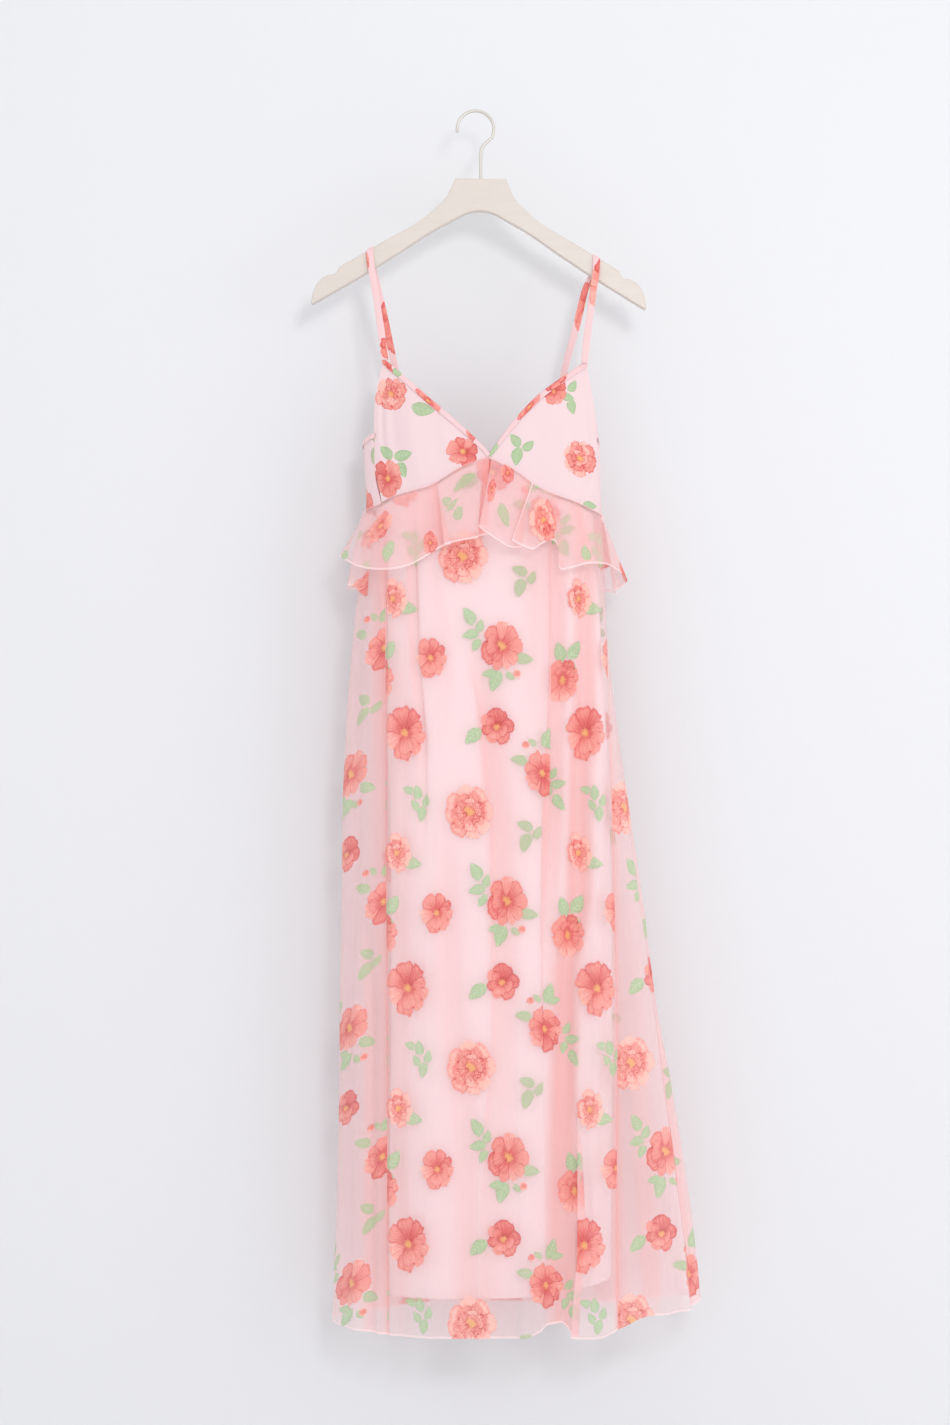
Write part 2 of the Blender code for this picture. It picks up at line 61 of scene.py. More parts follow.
@dataclass
class Signal:
    """One output socket, with arithmetic that adds Math nodes."""

    graph: "Graph"
    socket: bpy.types.NodeSocket

    def math(self, operation: str, *others: Number, clamp: bool = False) -> "Signal":
        """Adds one Math node with this signal as its first value.

        Args:
            operation: The Math node's operation.
            others: The node's further values or links.
            clamp: Whether the result is held between 0 and 1.

        Returns:
            The node's result.
        """
        inputs = {0: self, **{i + 1: other for i, other in enumerate(others)}}
        return self.graph.signal("ShaderNodeMath", {"operation": operation, "use_clamp": clamp}, inputs)

    def after(self, operation: str, first: float) -> "Signal":
        """A Math node with a plain number first and this signal second."""
        return self.graph.signal("ShaderNodeMath", {"operation": operation}, {0: first, 1: self})

    def __add__(self, other: Number) -> "Signal":
        """This plus other."""
        return self.math("ADD", other)

    def __radd__(self, other: float) -> "Signal":
        """A number plus this."""
        return self.math("ADD", other)

    def __sub__(self, other: Number) -> "Signal":
        """This minus other."""
        return self.math("SUBTRACT", other)

    def __rsub__(self, other: float) -> "Signal":
        """A number minus this."""
        return self.after("SUBTRACT", other)

    def __mul__(self, other: Number) -> "Signal":
        """This times other."""
        return self.math("MULTIPLY", other)

    def __rmul__(self, other: float) -> "Signal":
        """A number times this."""
        return self.math("MULTIPLY", other)

    def __truediv__(self, other: Number) -> "Signal":
        """This over other."""
        return self.math("DIVIDE", other)

    def __rtruediv__(self, other: float) -> "Signal":
        """A number over this."""
        return self.after("DIVIDE", other)

    def __pow__(self, other: Number) -> "Signal":
        """This to the power of other."""
        return self.math("POWER", other)

    def __abs__(self) -> "Signal":
        """This without its sign."""
        return self.math("ABSOLUTE")

    def sine(self) -> "Signal":
        """The sine of this, in radians."""
        return self.math("SINE")

    def cosine(self) -> "Signal":
        """The cosine of this, in radians."""
        return self.math("COSINE")

    def most(self, other: Number) -> "Signal":
        """The larger of this and other."""
        return self.math("MAXIMUM", other)

    def held(self) -> "Signal":
        """This held between 0 and 1."""
        return self.math("ADD", 0.0, clamp=True)

    def whole(self) -> "Signal":
        """This rounded to the nearest whole number."""
        return self.math("ROUND")

    def below(self) -> "Signal":
        """The whole number at or below this."""
        return self.math("FLOOR")

    def ramp(self, low: float, high: float) -> "Signal":
        """A smooth step from 0 where this is low to 1 where it is high.

        Args:
            low: The value that gives 0.
            high: The value that gives 1; it may be the smaller of the two.

        Returns:
            The step.
        """
        inputs = {"Value": self, "From Min": low, "From Max": high}
        return self.graph.signal("ShaderNodeMapRange", {"interpolation_type": "SMOOTHSTEP"}, inputs)


class Graph:
    """The nodes of one material, with a Principled shader at their end."""

    def __init__(self, name: str) -> None:
        """Starts a material.

        Args:
            name: The material's name.
        """
        self.material = bpy.data.materials.new(name)
        self.material.use_nodes = True
        self.tree = self.material.node_tree
        self.shader = self.tree.nodes["Principled BSDF"]

    def node(self, kind: str, settings: dict, inputs: dict) -> bpy.types.Node:
        """Adds a node.

        Args:
            kind: The node's type.
            settings: Its settings, which are set first.
            inputs: Values or signals for its sockets, by name or index.

        Returns:
            The node.
        """
        made = self.tree.nodes.new(kind)
        for name, value in settings.items():
            setattr(made, name, value)
        for place, value in inputs.items():
            self.feed(made.inputs[place], value)
        return made

    def feed(self, socket: bpy.types.NodeSocket, value: Union[Number, Sequence[float]]) -> None:
        """Links a signal to a socket, or sets the socket's own value."""
        if isinstance(value, Signal):
            self.tree.links.new(value.socket, socket)
        else:
            socket.default_value = value

    def signal(self, kind: str, settings: dict, inputs: dict, output: Union[int, str] = 0) -> Signal:
        """Adds a node and gives one of its outputs."""
        return Signal(self, self.node(kind, settings, inputs).outputs[output])

    def attribute(self, name: str) -> tuple[Signal, Signal, Signal]:
        """The three numbers of a mesh attribute."""
        read = self.signal("ShaderNodeAttribute", {"attribute_name": name}, {}, "Vector")
        split = self.node("ShaderNodeSeparateXYZ", {}, {0: read})
        return tuple(Signal(self, split.outputs[i]) for i in range(3))

    def vector(self, x: Number, y: Number, z: Number) -> Signal:
        """Three numbers as one vector."""
        return self.signal("ShaderNodeCombineXYZ", {}, {0: x, 1: y, 2: z})

    def noise(self, at: Signal, scale: float, detail: float = 2.0, roughness: float = 0.5) -> Signal:
        """Smooth noise between 0 and 1.

        Args:
            at: Where it is read.
            scale: How fine it is.
            detail: How many finer layers it has.
            roughness: How strong those are.

        Returns:
            The noise.
        """
        inputs = {"Vector": at, "Scale": scale, "Detail": detail, "Roughness": roughness}
        return self.signal("ShaderNodeTexNoise", {"noise_dimensions": "3D"}, inputs, 0)

    def chance(self, *of: Number) -> Signal:
        """A number between 0 and 1 that belongs to three whole numbers."""
        return self.signal("ShaderNodeTexWhiteNoise", {"noise_dimensions": "3D"}, {"Vector": self.vector(*of)})

    def blend(self, first: Union[Signal, Colour], second: Union[Signal, Colour], share: Number) -> Signal:
        """Two colours mixed.

        Args:
            first: The colour at share 0.
            second: The colour at share 1.
            share: How much of the second there is.

        Returns:
            The mixed colour.
        """
        ends = [end if isinstance(end, Signal) else (*end, 1.0) for end in (first, second)]
        return self.signal("ShaderNodeMix", {"data_type": "RGBA"}, {0: share, 6: ends[0], 7: ends[1]}, 2)

    def surface(self, **sockets: Union[Number, Sequence[float]]) -> None:
        """Sets or links sockets of the Principled shader, whose names are given with underscores."""
        for name, value in sockets.items():
            self.feed(self.shader.inputs[name.replace("_", " ")], value)

    def bump(self, height: Signal, distance_m: float, strength: float = 1.0) -> None:
        """Roughens the surface.

        Args:
            height: How high the surface stands, from 0 to 1.
            distance_m: How far 1 stands out, in metres.
            strength: How much of that is used.
        """
        inputs = {"Height": height, "Distance": distance_m, "Strength": strength}
        self.surface(Normal=self.signal("ShaderNodeBump", {}, inputs))


def tint(red: float, green: float, blue: float) -> Colour:
    """A colour given as display values from 0 to 255, as the shader's linear ones."""

    def linear(value: float) -> float:
        """One channel, from its display value."""
        part = value / 255
        return part / 12.92 if part <= 0.04045 else ((part + 0.055) / 1.055) ** 2.4

    return (linear(red), linear(green), linear(blue))


# --- finishes ----------------------------------------------------------------------------------


class Backing(Enum):
    """What lies behind the chiffon, stitched in with it."""

    NONE = "sheer"
    LINED = "lined"
    ROLLED = "rolled"


# How much of the ground is the cloth's own colour, and how strongly each glows: a painted glow, emission in the cloth's
# own colour that stands in for light passing through from behind.
GROUND_SHARE: dict[Backing, float] = {Backing.NONE: 1.0, Backing.LINED: 0.30, Backing.ROLLED: 0.62}
PAINTED_GLOW: dict[Backing, float] = {Backing.NONE: 0.10, Backing.LINED: 0.0, Backing.ROLLED: 0.04}


@dataclass(frozen=True)
class RosePrint:
    """The colours of the printed roses and leaves."""

    deep: Colour = tint(197, 58, 58)
    coral: Colour = tint(222, 100, 95)
    light: Colour = tint(240, 148, 136)
    palest: Colour = tint(250, 192, 178)
    heart: Colour = tint(245, 186, 108)
    leaf: Colour = tint(146, 180, 126)
    leaf_pale: Colour = tint(190, 213, 172)
    leaf_dry: Colour = tint(186, 178, 146)

    def roses(self, graph: Graph) -> tuple[Signal, Signal]:
        """Paints the roses and peonies, petal by petal.

        Args:
            graph: The material's nodes.

        Returns:
            The colour, and how much of it there is.
        """
        x, y, seed = graph.attribute("rose_at")
        petals, fullness, _ = graph.attribute("rose_form")
        place = graph.vector(x, y, seed)
        wave = graph.vector(y, x, seed + 7.0)
        x = x + (graph.noise(place, 2.8, 3.0, 0.62) - 0.5) * 0.36
        y = y + (graph.noise(wave, 2.8, 3.0, 0.62) - 0.5) * 0.36
        reach = (x * x + y * y) ** 0.5
        angle = y.math("ARCTAN2", x)
        streaks = graph.noise(graph.vector(angle.cosine() * 9.0, angle.sine() * 9.0, reach * 1.8 + seed), 1.6,
                3.0, 0.65)
        angle = angle + 0.30 * (angle + seed).sine() + 0.15 * (angle * 2.0 + seed * 1.7).sine()
        petals, number = petals.whole(), (seed * 40.0).whole()
        tone, outline = 0.0, None
        for ring, share in enumerate((1.0, 0.71, 0.47)):
            count = petals - float(ring)
            turn = angle * count / (2 * math.pi) + seed * (1.0 + ring) + 0.37 * ring
            which = turn.below().math("FLOORED_MODULO", count)
            aside = abs(turn - turn.below() - 0.5) * 2.0
            size, shade = graph.chance(which, number, 3.0 + ring), graph.chance(which, number, 11.0 + ring)
            edge = share * (0.86 + 0.14 * size) * (1.0 - 0.17 * aside**4.0)
            there = 1.0 if ring == 0 else fullness.most(shade.ramp(0.46, 0.50) * (0.75 if ring == 1 else 0.0))
            petal = 0.30 + 0.52 * shade + 0.28 * (reach / edge).ramp(0.25, 0.85)
            petal = petal - 0.42 * aside**8.0 - 0.40 * (edge - reach).ramp(0.16, 0.0) * (1.0 - shade)
            inside = (edge - reach).ramp(-0.012, 0.014) * there
            if ring == 0:
                tone, outline = petal, inside
            else:
                shadow = (reach - edge).ramp(0.13, 0.0) * there * 0.24
                tone = (tone - shadow) * (1.0 - inside) + petal * inside
        cells = graph.signal("ShaderNodeTexVoronoi", {"feature": "DISTANCE_TO_EDGE"},
                             {"Vector": graph.vector(x, y, seed), "Scale": 7.0})
        crumple = cells.ramp(0.10, 0.02) * reach.ramp(0.66, 0.45) * fullness
        tone = tone + (streaks - 0.5) * 0.95 + fullness * 0.36 - crumple * 0.50 - 0.20 * reach.ramp(0.42, 0.20)
        colour = graph.blend(self.deep, self.coral, tone.ramp(0.02, 0.42))
        colour = graph.blend(colour, self.light, tone.ramp(0.42, 0.86))
        colour = graph.blend(colour, self.palest, tone.ramp(0.86, 1.25))
        speckle = graph.noise(place, 15.0, 2.0, 0.5)
        heart = (reach + (speckle - 0.5) * 0.30).ramp(0.22, 0.06)
        return graph.blend(colour, self.heart, heart * (0.40 + 0.8 * speckle).held()), outline

    def leaves(self, graph: Graph) -> tuple[Signal, Signal]:
        """Paints the leaves.

        Args:
            graph: The material's nodes.

        Returns:
            The colour, and how much of it there is.
        """
        x, y, tone = graph.attribute("leaf_at")
        place = graph.vector(x, y, tone * 9.0)
        bend = y + 0.16 * x * x - 0.06 + (graph.noise(place, 1.8) - 0.5) * 0.22
        side = abs(bend)
        width = (1.0 - x * x).most(0.0) ** 0.72 * (1.0 - 0.26 * x)
        outline = (width - side).ramp(0.0, 0.10) * abs(x).ramp(1.0, 0.97)
        vein = side.ramp(0.10, 0.0)
        ribs = ((x - side * 0.5) * 15.0).sine().ramp(0.5, 1.0) * 0.30
        rim = (width - side).ramp(0.30, 0.05) * 0.45
        paleness = (graph.noise(place, 3.2, 3.0) * 0.9 + 0.16 + vein * 0.35 - ribs - rim).held()
        colour = graph.blend(self.leaf, self.leaf_pale, paleness)
        return graph.blend(colour, self.leaf_dry, tone.ramp(0.3, 1.0) * 0.65), outline


@dataclass(frozen=True)
class Chiffon:
    """Sheer printed chiffon, alone, over a lining or rolled into a strap."""

    backing: Backing = Backing.NONE
    ground: Colour = tint(251, 212, 212)
    # The next colour is painted fold shade: a deeper pink for fold valleys, steep fold sides and seams.
    fold_shade_pink: Colour = tint(243, 168, 164)
    rolled_edge: Colour = tint(250, 222, 222)
    stitched: Colour = tint(240, 190, 190)
    lining: Colour = tint(240, 222, 224)
    sheer: float = 0.33
    printed: float = 0.86
    # The next two set how much painted fold shade is mixed into the colour, and how much more the cloth covers where it
    # lies in layers.
    fold_shade_tint: float = 0.75
    gather_cover: float = 0.30
    roll_cover: float = 0.32
    threads_per_turn: float = 5200.0
    crinkle_depth: float = 0.00006
    print_colours: RosePrint = field(default_factory=RosePrint)

    def build(self) -> bpy.types.Material:
        """Makes the material.

        Returns:
            The finished material.
        """
        graph = Graph(f"chiffon_{self.backing.value}")
        across, down, edge = graph.attribute("cloth_at")
        cloth = graph.vector(across, down, 0.0)
        ground, cover = self.ground_of(graph, cloth)
        # Painted fold shade: a deeper pink mixed in at fold valleys, steep fold sides and seams; the same value also
        # raises the cover where the cloth lies in layers.
        gather, _, _ = graph.attribute("fold_shade_at")
        ground = graph.blend(ground, self.fold_shade_pink, gather.held() * self.fold_shade_tint)
        cover = cover + gather.most(0.0) * self.gather_cover
        roses, rose_mask = self.print_colours.roses(graph)
        leaves, leaf_mask = self.print_colours.leaves(graph)
        wash = graph.noise(cloth, 70.0, 3.0)
        leaf_mask = leaf_mask * (0.84 + 0.16 * wash)
        rose_mask = rose_mask * (0.90 + 0.10 * wash)
        if self.backing is Backing.NONE:
            roll = edge.ramp(0.0030, 0.0022)
            ground, cover = graph.blend(ground, self.rolled_edge, roll * 0.7), cover + roll * self.roll_cover
        colour = graph.blend(graph.blend(ground, leaves, leaf_mask), roses, rose_mask)
        if self.backing is Backing.NONE:
            ink = leaf_mask.most(rose_mask)
            graph.surface(Alpha=(cover + (self.printed - cover) * ink).held())
            self.material_blend(graph)
        crinkle = graph.noise(graph.vector(across, down * 0.6, 0.0), 110.0, 3.0, 0.6)
        threads = ((across * self.threads_per_turn).sine() * (down * self.threads_per_turn).sine()) * 0.5 + 0.5
        stitch = edge.ramp(0.0034, 0.0042) * edge.ramp(0.0056, 0.0048)
        graph.bump(crinkle * 0.7 + threads * 0.1 - stitch * 0.8, self.crinkle_depth, 0.5)
        # Painted glow: the cloth emits its own colour, standing in for light that passes through it from behind.
        graph.surface(Emission_Color=colour, Emission_Strength=PAINTED_GLOW[self.backing])
        graph.surface(Base_Color=colour, Roughness=0.74 + 0.12 * crinkle)
        graph.surface(Sheen_Weight=0.12, Sheen_Roughness=0.5, Specular_IOR_Level=0.12)
        return graph.material

    def ground_of(self, graph: Graph, cloth: Signal) -> tuple[Signal, Signal]:
        """The unprinted cloth.

        Args:
            graph: The material's nodes.
            cloth: The place on the flat cloth.

        Returns:
            Its colour, and how much it covers.
        """
        cloud = graph.noise(cloth, 9.0, 3.0)
        own = self.ground if self.backing is Backing.NONE else self.stitched
        ground = graph.blend(self.lining, own, cloud * 0.10 + (GROUND_SHARE[self.backing] - 0.05))
        slub = graph.noise(graph.signal("ShaderNodeVectorMath", {"operation": "MULTIPLY"},
                                        {0: cloth, 1: (1.0, 0.03, 1.0)}), 900.0, 2.0)
        return ground, self.sheer - 0.01 + slub * 0.02

    @staticmethod
    def material_blend(graph: Graph) -> None:
        """Lets the viewport show the sheer cloth as see-through."""
        graph.material.surface_render_method = "BLENDED"


@dataclass(frozen=True)
class LiningCloth:
    """The smooth pale cloth of the inner slip."""

    pale: Colour = tint(249, 238, 239)
    warm: Colour = tint(246, 231, 232)

    def build(self) -> bpy.types.Material:
        """Makes the material.

        Returns:
            The finished material.
        """
        graph = Graph("lining_cloth")
        across, down, edge = graph.attribute("cloth_at")
        cloth = graph.vector(across, down * 0.25, 0.0)
        cloud = graph.noise(cloth, 14.0, 3.0)
        hem = edge.ramp(0.0125, 0.0115)
        weave = ((across * 4200.0).sine() * (down * 4200.0).sine()) * 0.5 + 0.5
        graph.surface(Base_Color=graph.blend(self.pale, self.warm, (cloud * 0.6 + hem * 0.35).held()))
        graph.surface(Roughness=0.48 + 0.14 * cloud, Sheen_Weight=0.2, Specular_IOR_Level=0.3)
        graph.bump(weave * 0.1 + graph.noise(cloth, 90.0, 3.0) * 0.9, 0.00008, 0.5)
        return graph.material


@dataclass(frozen=True)
class PaintedWood:
    """Bone-coloured satin paint over a fine-grained wood."""

    paint: Colour = tint(223, 213, 203)
    grain: Colour = tint(211, 200, 189)

    def build(self) -> bpy.types.Material:
        """Makes the material.

        Returns:
            The finished material.
        """
        graph = Graph("painted_wood")
        place = graph.signal("ShaderNodeTexCoord", {}, {}, "Object")
        long_grain = graph.signal("ShaderNodeVectorMath", {"operation": "MULTIPLY"}, {0: place, 1: (6.0, 60.0, 60.0)})
        rings = graph.noise(long_grain, 4.0, 5.0, 0.6)
        mottle = graph.noise(place, 38.0, 3.0)
        graph.surface(Base_Color=graph.blend(self.paint, self.grain, (rings * 0.8 + mottle * 0.3 - 0.25).held()))
        graph.surface(Roughness=0.34 + 0.16 * rings, Specular_IOR_Level=0.45, Coat_Weight=0.12, Coat_Roughness=0.3)
        graph.bump(rings * 0.6 + graph.noise(place, 420.0, 2.0) * 0.4, 0.00012, 0.6)
        return graph.material


@dataclass(frozen=True)
class PlatedWire:
    """Pale plated wire with a faint brushed drawing mark, or its plain end cap."""

    name: str = "hook_wire"
    bright: Colour = tint(226, 222, 214)
    dull: Colour = tint(196, 190, 180)
    metallic: float = 0.45
    rough: float = 0.3

    def build(self) -> bpy.types.Material:
        """Makes the material.

        Returns:
            The finished material.
        """
        graph = Graph(self.name)
        place = graph.signal("ShaderNodeTexCoord", {}, {}, "Object")
        drawn = graph.noise(place, 520.0, 2.0)
        worn = graph.noise(place, 60.0, 3.0)
        graph.surface(Base_Color=graph.blend(self.bright, self.dull, (drawn * 0.5 + worn * 0.5).held()))
        graph.surface(Metallic=self.metallic, Roughness=self.rough + 0.12 * drawn)
        graph.bump(drawn, 0.00004, 0.4)
        return graph.material


@dataclass(frozen=True)
class StudioPaint:
    """A plain matt wall or floor that lets the view through from behind."""

    name: str
    pale: Colour = tint(235, 235, 236)
    see_through_behind: bool = False

    def build(self) -> bpy.types.Material:
        """Makes the material.

        Returns:
            The finished material.
        """
        graph = Graph(self.name)
        graph.surface(Base_Color=(*self.pale, 1.0), Roughness=0.9, Specular_IOR_Level=0.1)
        if self.see_through_behind:
            back = graph.signal("ShaderNodeNewGeometry", {}, {}, "Backfacing")
            graph.surface(Alpha=1.0 - back)
        return graph.material


# --- the print ---------------------------------------------------------------------------------


class Bloom(Enum):
    """What a motif of the print is."""

    ROSE = 0
    PEONY = 1
    LEAF = 2


@dataclass(frozen=True)
class Motif:
    """One flower or leaf: its place, half sizes, turn in degrees (clockwise from the right) and tone."""

    bloom: Bloom
    x: float
    y: float
    half_x: float
    half_y: float = 0.0
    turn: float = 0.0
    tone: float = 0.3
    petals: int = 6

    def moved(self, x: float, y: float) -> "Motif":
        """The same motif somewhere else."""
        return Motif(self.bloom, x, y, self.half_x, self.half_y, self.turn, self.tone, self.petals)

    def seed(self) -> float:
        """A number that makes each kind of flower grow its own petals."""
        return (self.half_x * 1.7 + self.half_y * 0.6 + self.turn * 0.013) % 6.0


def rose(x: float, y: float, half_x: float, half_y: float, petals: int = 6, turn: float = 0.0) -> Motif:
    """An open rose."""
    return Motif(Bloom.ROSE, x, y, half_x, half_y, turn, 0.0, petals)


def peony(x: float, y: float, half_x: float, half_y: float, petals: int = 7, turn: float = 0.0) -> Motif:
    """A full, many-petalled flower."""
    return Motif(Bloom.PEONY, x, y, half_x, half_y, turn, 1.0, petals)


def leaf(x: float, y: float, half: float, turn: float, tone: float = 0.1, broad: float = 0.60) -> Motif:
    """A leaf that points along turn, as broad as a share of its length."""
    return Motif(Bloom.LEAF, x, y, half, half * broad, turn, tone)


def sprig_about(x: float, y: float, turned: bool) -> list[Motif]:
    """The large rose with its leaves and bud, or the same one upside down.

    Args:
        x: Its centre across.
        y: Its centre down.
        turned: Whether it is turned half round.

    Returns:
        The rose, its leaves and its bud.
    """
    parts = [
        rose(0, 0, 27, 33, 8), leaf(-40, -37, 12.5, 240), leaf(-27, -25, 9, 290), leaf(-39, -14, 11, 170),
        leaf(-32, -1, 9, 120), leaf(-15, 35, 10, 180), leaf(-8, 44, 14, 110, 0.1), leaf(28, 16, 12, 10, 0.6),
        rose(19, 35, 5.5, 5.5, 3), leaf(11, 38, 7, 40, 0.6),
    ]
    sign = -1 if turned else 1
    return [
        Motif(m.bloom, x + sign * m.x, y + sign * m.y, m.half_x * (0.94 if turned else 1),
        m.half_y * (0.9 if turned else 1),
              m.turn + (180 if turned else 0), m.tone, m.petals)
        for m in parts
    ]


@dataclass(frozen=True)
class PrintChart:
    """The repeat of the print, in millimetres, y down."""

    width: float = 250.0
    height: float = 318.75

    def motifs(self) -> list[Motif]:
        """Every motif of one repeat.

        Returns:
            The motifs, placed from the big open rose at 0, 0.
        """
        scattered = [
            rose(0, 0, 29, 38, 8, 8), rose(37.5, 225, 22, 28, 7), rose(121, -7.5, 22, 24, 6, 20),
            rose(214, -66, 25, 28, 7, 40),
            peony(80, 98, 33, 36, 7), peony(-12.5, 150, 19, 25, 6),
            leaf(89, 4, 14, 140, 0.1), leaf(6, 162, 13.5, 15, 0.4),
            leaf(4, 72, 8.5, 200, 0.2), leaf(15, 75, 10, 265, 0.2), leaf(11.5, 90.5, 8, 240), leaf(26, 85, 8.5, 285),
            leaf(20, 101.5, 10, 100),
            leaf(152, 116, 11, 205, 0.7), leaf(167, 125, 9.5, 300, 0.7), leaf(152, 137, 13, 110, 0.7),
            leaf(210, -101, 13, 260, 0.2), leaf(230, -103.5, 14.5, 310, 0.4), leaf(226, -82, 11, 40, 0.5),
        ]
        return scattered + sprig_about(127.5, 210, False) + sprig_about(176, 50, True)

    def over(self, low: tuple[float, float], high: tuple[float, float]) -> list[Motif]:
        """The motifs of every repeat that reaches into a box of chart places.

        Args:
            low: The box's lower corner.
            high: Its upper corner.

        Returns:
            The motifs.
        """
        found = []
        for column in range(math.floor(low[0] / self.width) - 1, math.ceil(high[0] / self.width) + 1):
            for row in range(math.floor(low[1] / self.height) - 1, math.ceil(high[1] / self.height) + 1):
                for motif in self.motifs():
                    x, y = motif.x + column * self.width, motif.y + row * self.height
                    if low[0] - 45 < x < high[0] + 45 and low[1] - 45 < y < high[1] + 45:
                        found.append(motif.moved(x, y))
        return found


# --- cloth as a grid of points -----------------------------------------------------------------


def smooth(table: Table, at: np.ndarray) -> np.ndarray:
    """Reads a table of (place, value) as a smooth curve through its points."""
    rows = sorted(table)
    place = np.array([row[0] for row in rows], float)
    value = np.array([row[1] for row in rows], float)
    slope = np.gradient(value, place)
    at = np.clip(np.asarray(at, float), place[0], place[-1])
    cell = np.clip(np.searchsorted(place, at) - 1, 0, len(place) - 2)
    width = place[cell + 1] - place[cell]
    t = (at - place[cell]) / width
    start = (1 + 2 * t) * (1 - t) ** 2 * value[cell] + t * (1 - t) ** 2 * width * slope[cell]
    end = t * t * (3 - 2 * t) * value[cell + 1] + t * t * (t - 1) * width * slope[cell + 1]
    return start + end


def straight(table: Table, at: np.ndarray) -> np.ndarray:
    """Reads a table of (place, value) with straight lines between its points."""
    rows = sorted(table)
    return np.interp(at, [row[0] for row in rows], [row[1] for row in rows])


def rounded(table: Table, at: np.ndarray, reach: float = 7.0) -> np.ndarray:
    """Reads a table with straight lines whose corners are softened over a reach."""
    return sum(straight(table, np.asarray(at) + step * reach) for step in (-1, -0.5, 0, 0.5, 1)) / 5


@dataclass
class Cloth:
    """A panel as rows of points, with the place of each point on the flat cloth."""

    points: np.ndarray
    across: Optional[np.ndarray] = None
    down: Optional[np.ndarray] = None
    finished: tuple[bool, bool, bool, bool] = (True, True, True, True)
    # gather holds each point's painted fold shade, which also thickens the cover where the cloth lies in layers.
    gather: Optional[np.ndarray] = None
    creased: Optional[float] = None

    def __post_init__(self) -> None:
        """Measures the flat cloth along the rows and columns where it isn't given."""
        if self.across is None:
            step = np.linalg.norm(np.diff(self.points, axis=1), axis=2)
            self.across = np.concatenate([np.zeros((len(step), 1)), np.cumsum(step, axis=1)], axis=1)
        if self.down is None:
            step = np.linalg.norm(np.diff(self.points, axis=0), axis=2)
            self.down = np.concatenate([np.zeros((1, step.shape[1])), np.cumsum(step, axis=0)], axis=0)

    def edge(self) -> np.ndarray:
        """How far each point is from the nearest hem or seam: left, right, top and bottom where finished."""
        left, right, top, bottom = self.finished
        sides = []
        if left:
            sides.append(self.across - self.across[:, :1])
        if right:
            sides.append(self.across[:, -1:] - self.across)
        if top:
            sides.append(self.down - self.down[:1])
        if bottom:
            sides.append(self.down[-1:] - self.down)
        if self.creased is not None:
            sides.append(np.abs(self.across - self.creased) * 1.4)
        return np.minimum.reduce(sides) if sides else np.full(self.across.shape, 99.0)

    def nearest(self, x: float, z: float) -> tuple[float, float]:
        """The place on the flat cloth of the foremost point seen at x and z."""
        gap = (self.points[..., 0] - x) ** 2 + (self.points[..., 2] - z) ** 2 + self.points[..., 1] * 0.3
        at = np.unravel_index(np.argmin(gap), gap.shape)
        return float(self.across[at]), float(self.down[at])

    def pinned(self, motifs: Iterable[Motif]) -> list[Motif]:
        """Motifs given by where they are seen from the front, x and minus z, moved to the flat cloth."""
        return [motif.moved(*self.nearest(motif.x, -motif.y)) for motif in motifs]

    def charted(self, chart: PrintChart, chart_x: np.ndarray, chart_y: np.ndarray,
                plain: Optional[np.ndarray] = None) -> list[Motif]:
        """The chart's motifs laid on this cloth, each kept whole.

        Args:
            chart: The print's repeat.
            chart_x: The chart's place across at every point.
            chart_y: The chart's place down at every point.
            plain: Where the cloth is left unprinted.

        Returns:
            The motifs at their places on the flat cloth.
        """
        found = []
        rows = slice(None, None, 3)
        near_x, near_y = chart_x[rows, rows], chart_y[rows, rows]
        low, high = (near_x.min(), near_y.min()), (near_x.max(), near_y.max())
        for motif in chart.over(low, high):
            gap = (near_x - motif.x) ** 2 + (near_y - motif.y) ** 2
            at = np.unravel_index(np.argmin(gap), gap.shape)
            if gap[at] > 48.0**2 or (plain is not None and plain[rows, rows][at]):
                continue
            across = self.across[rows, rows][at] + motif.x - near_x[at]
            down = self.down[rows, rows][at] + motif.y - near_y[at]
            found.append(motif.moved(float(across), float(down)))
        return found

    def mesh(self, name: str, motifs: Sequence[Motif]) -> bpy.types.Mesh:
        """Makes the mesh, with the print's places stored on it.

        Args:
            name: The mesh's name.
            motifs: The flowers and leaves, at places on the flat cloth.

        Returns:
            The mesh.
        """
        rows, columns = self.points.shape[:2]
        corner = np.arange(rows * columns).reshape(rows, columns)
        quads = np.stack([corner[:-1, :-1], corner[1:, :-1], corner[1:, 1:], corner[:-1, 1:]], axis=-1).reshape(-1, 4)
        mesh = bpy.data.meshes.new(name)
        mesh.vertices.add(rows * columns)
        mesh.vertices.foreach_set("co", (self.points.reshape(-1, 3) * MM).ravel())
        mesh.loops.add(quads.size)
        mesh.loops.foreach_set("vertex_index", quads.ravel())
        mesh.polygons.add(len(quads))
        mesh.polygons.foreach_set("loop_start", np.arange(len(quads)) * 4)
        mesh.polygons.foreach_set("use_smooth", np.ones(len(quads), bool))
        mesh.update(calc_edges=True)
        flat = np.stack([self.across.ravel(), self.down.ravel(), self.edge().ravel()], axis=1) * MM
        self.store(mesh, "cloth_at", "POINT", flat)
        # Each point's painted fold shade, stored for the material.
        painted_fold_shade = np.zeros((rows * columns, 3))
        if self.gather is not None:
            painted_fold_shade[:, 0] = self.gather.ravel()
        self.store(mesh, "fold_shade_at", "POINT", painted_fold_shade)
        self.paint(mesh, quads, motifs)
        return mesh

    @staticmethod
    def store(mesh: bpy.types.Mesh, name: str, domain: str, values: np.ndarray) -> None:
        """Adds a vector attribute to a mesh."""
        layer = mesh.attributes.new(name, "FLOAT_VECTOR", domain)
        layer.data.foreach_set("vector", np.ascontiguousarray(values, np.float32).ravel())

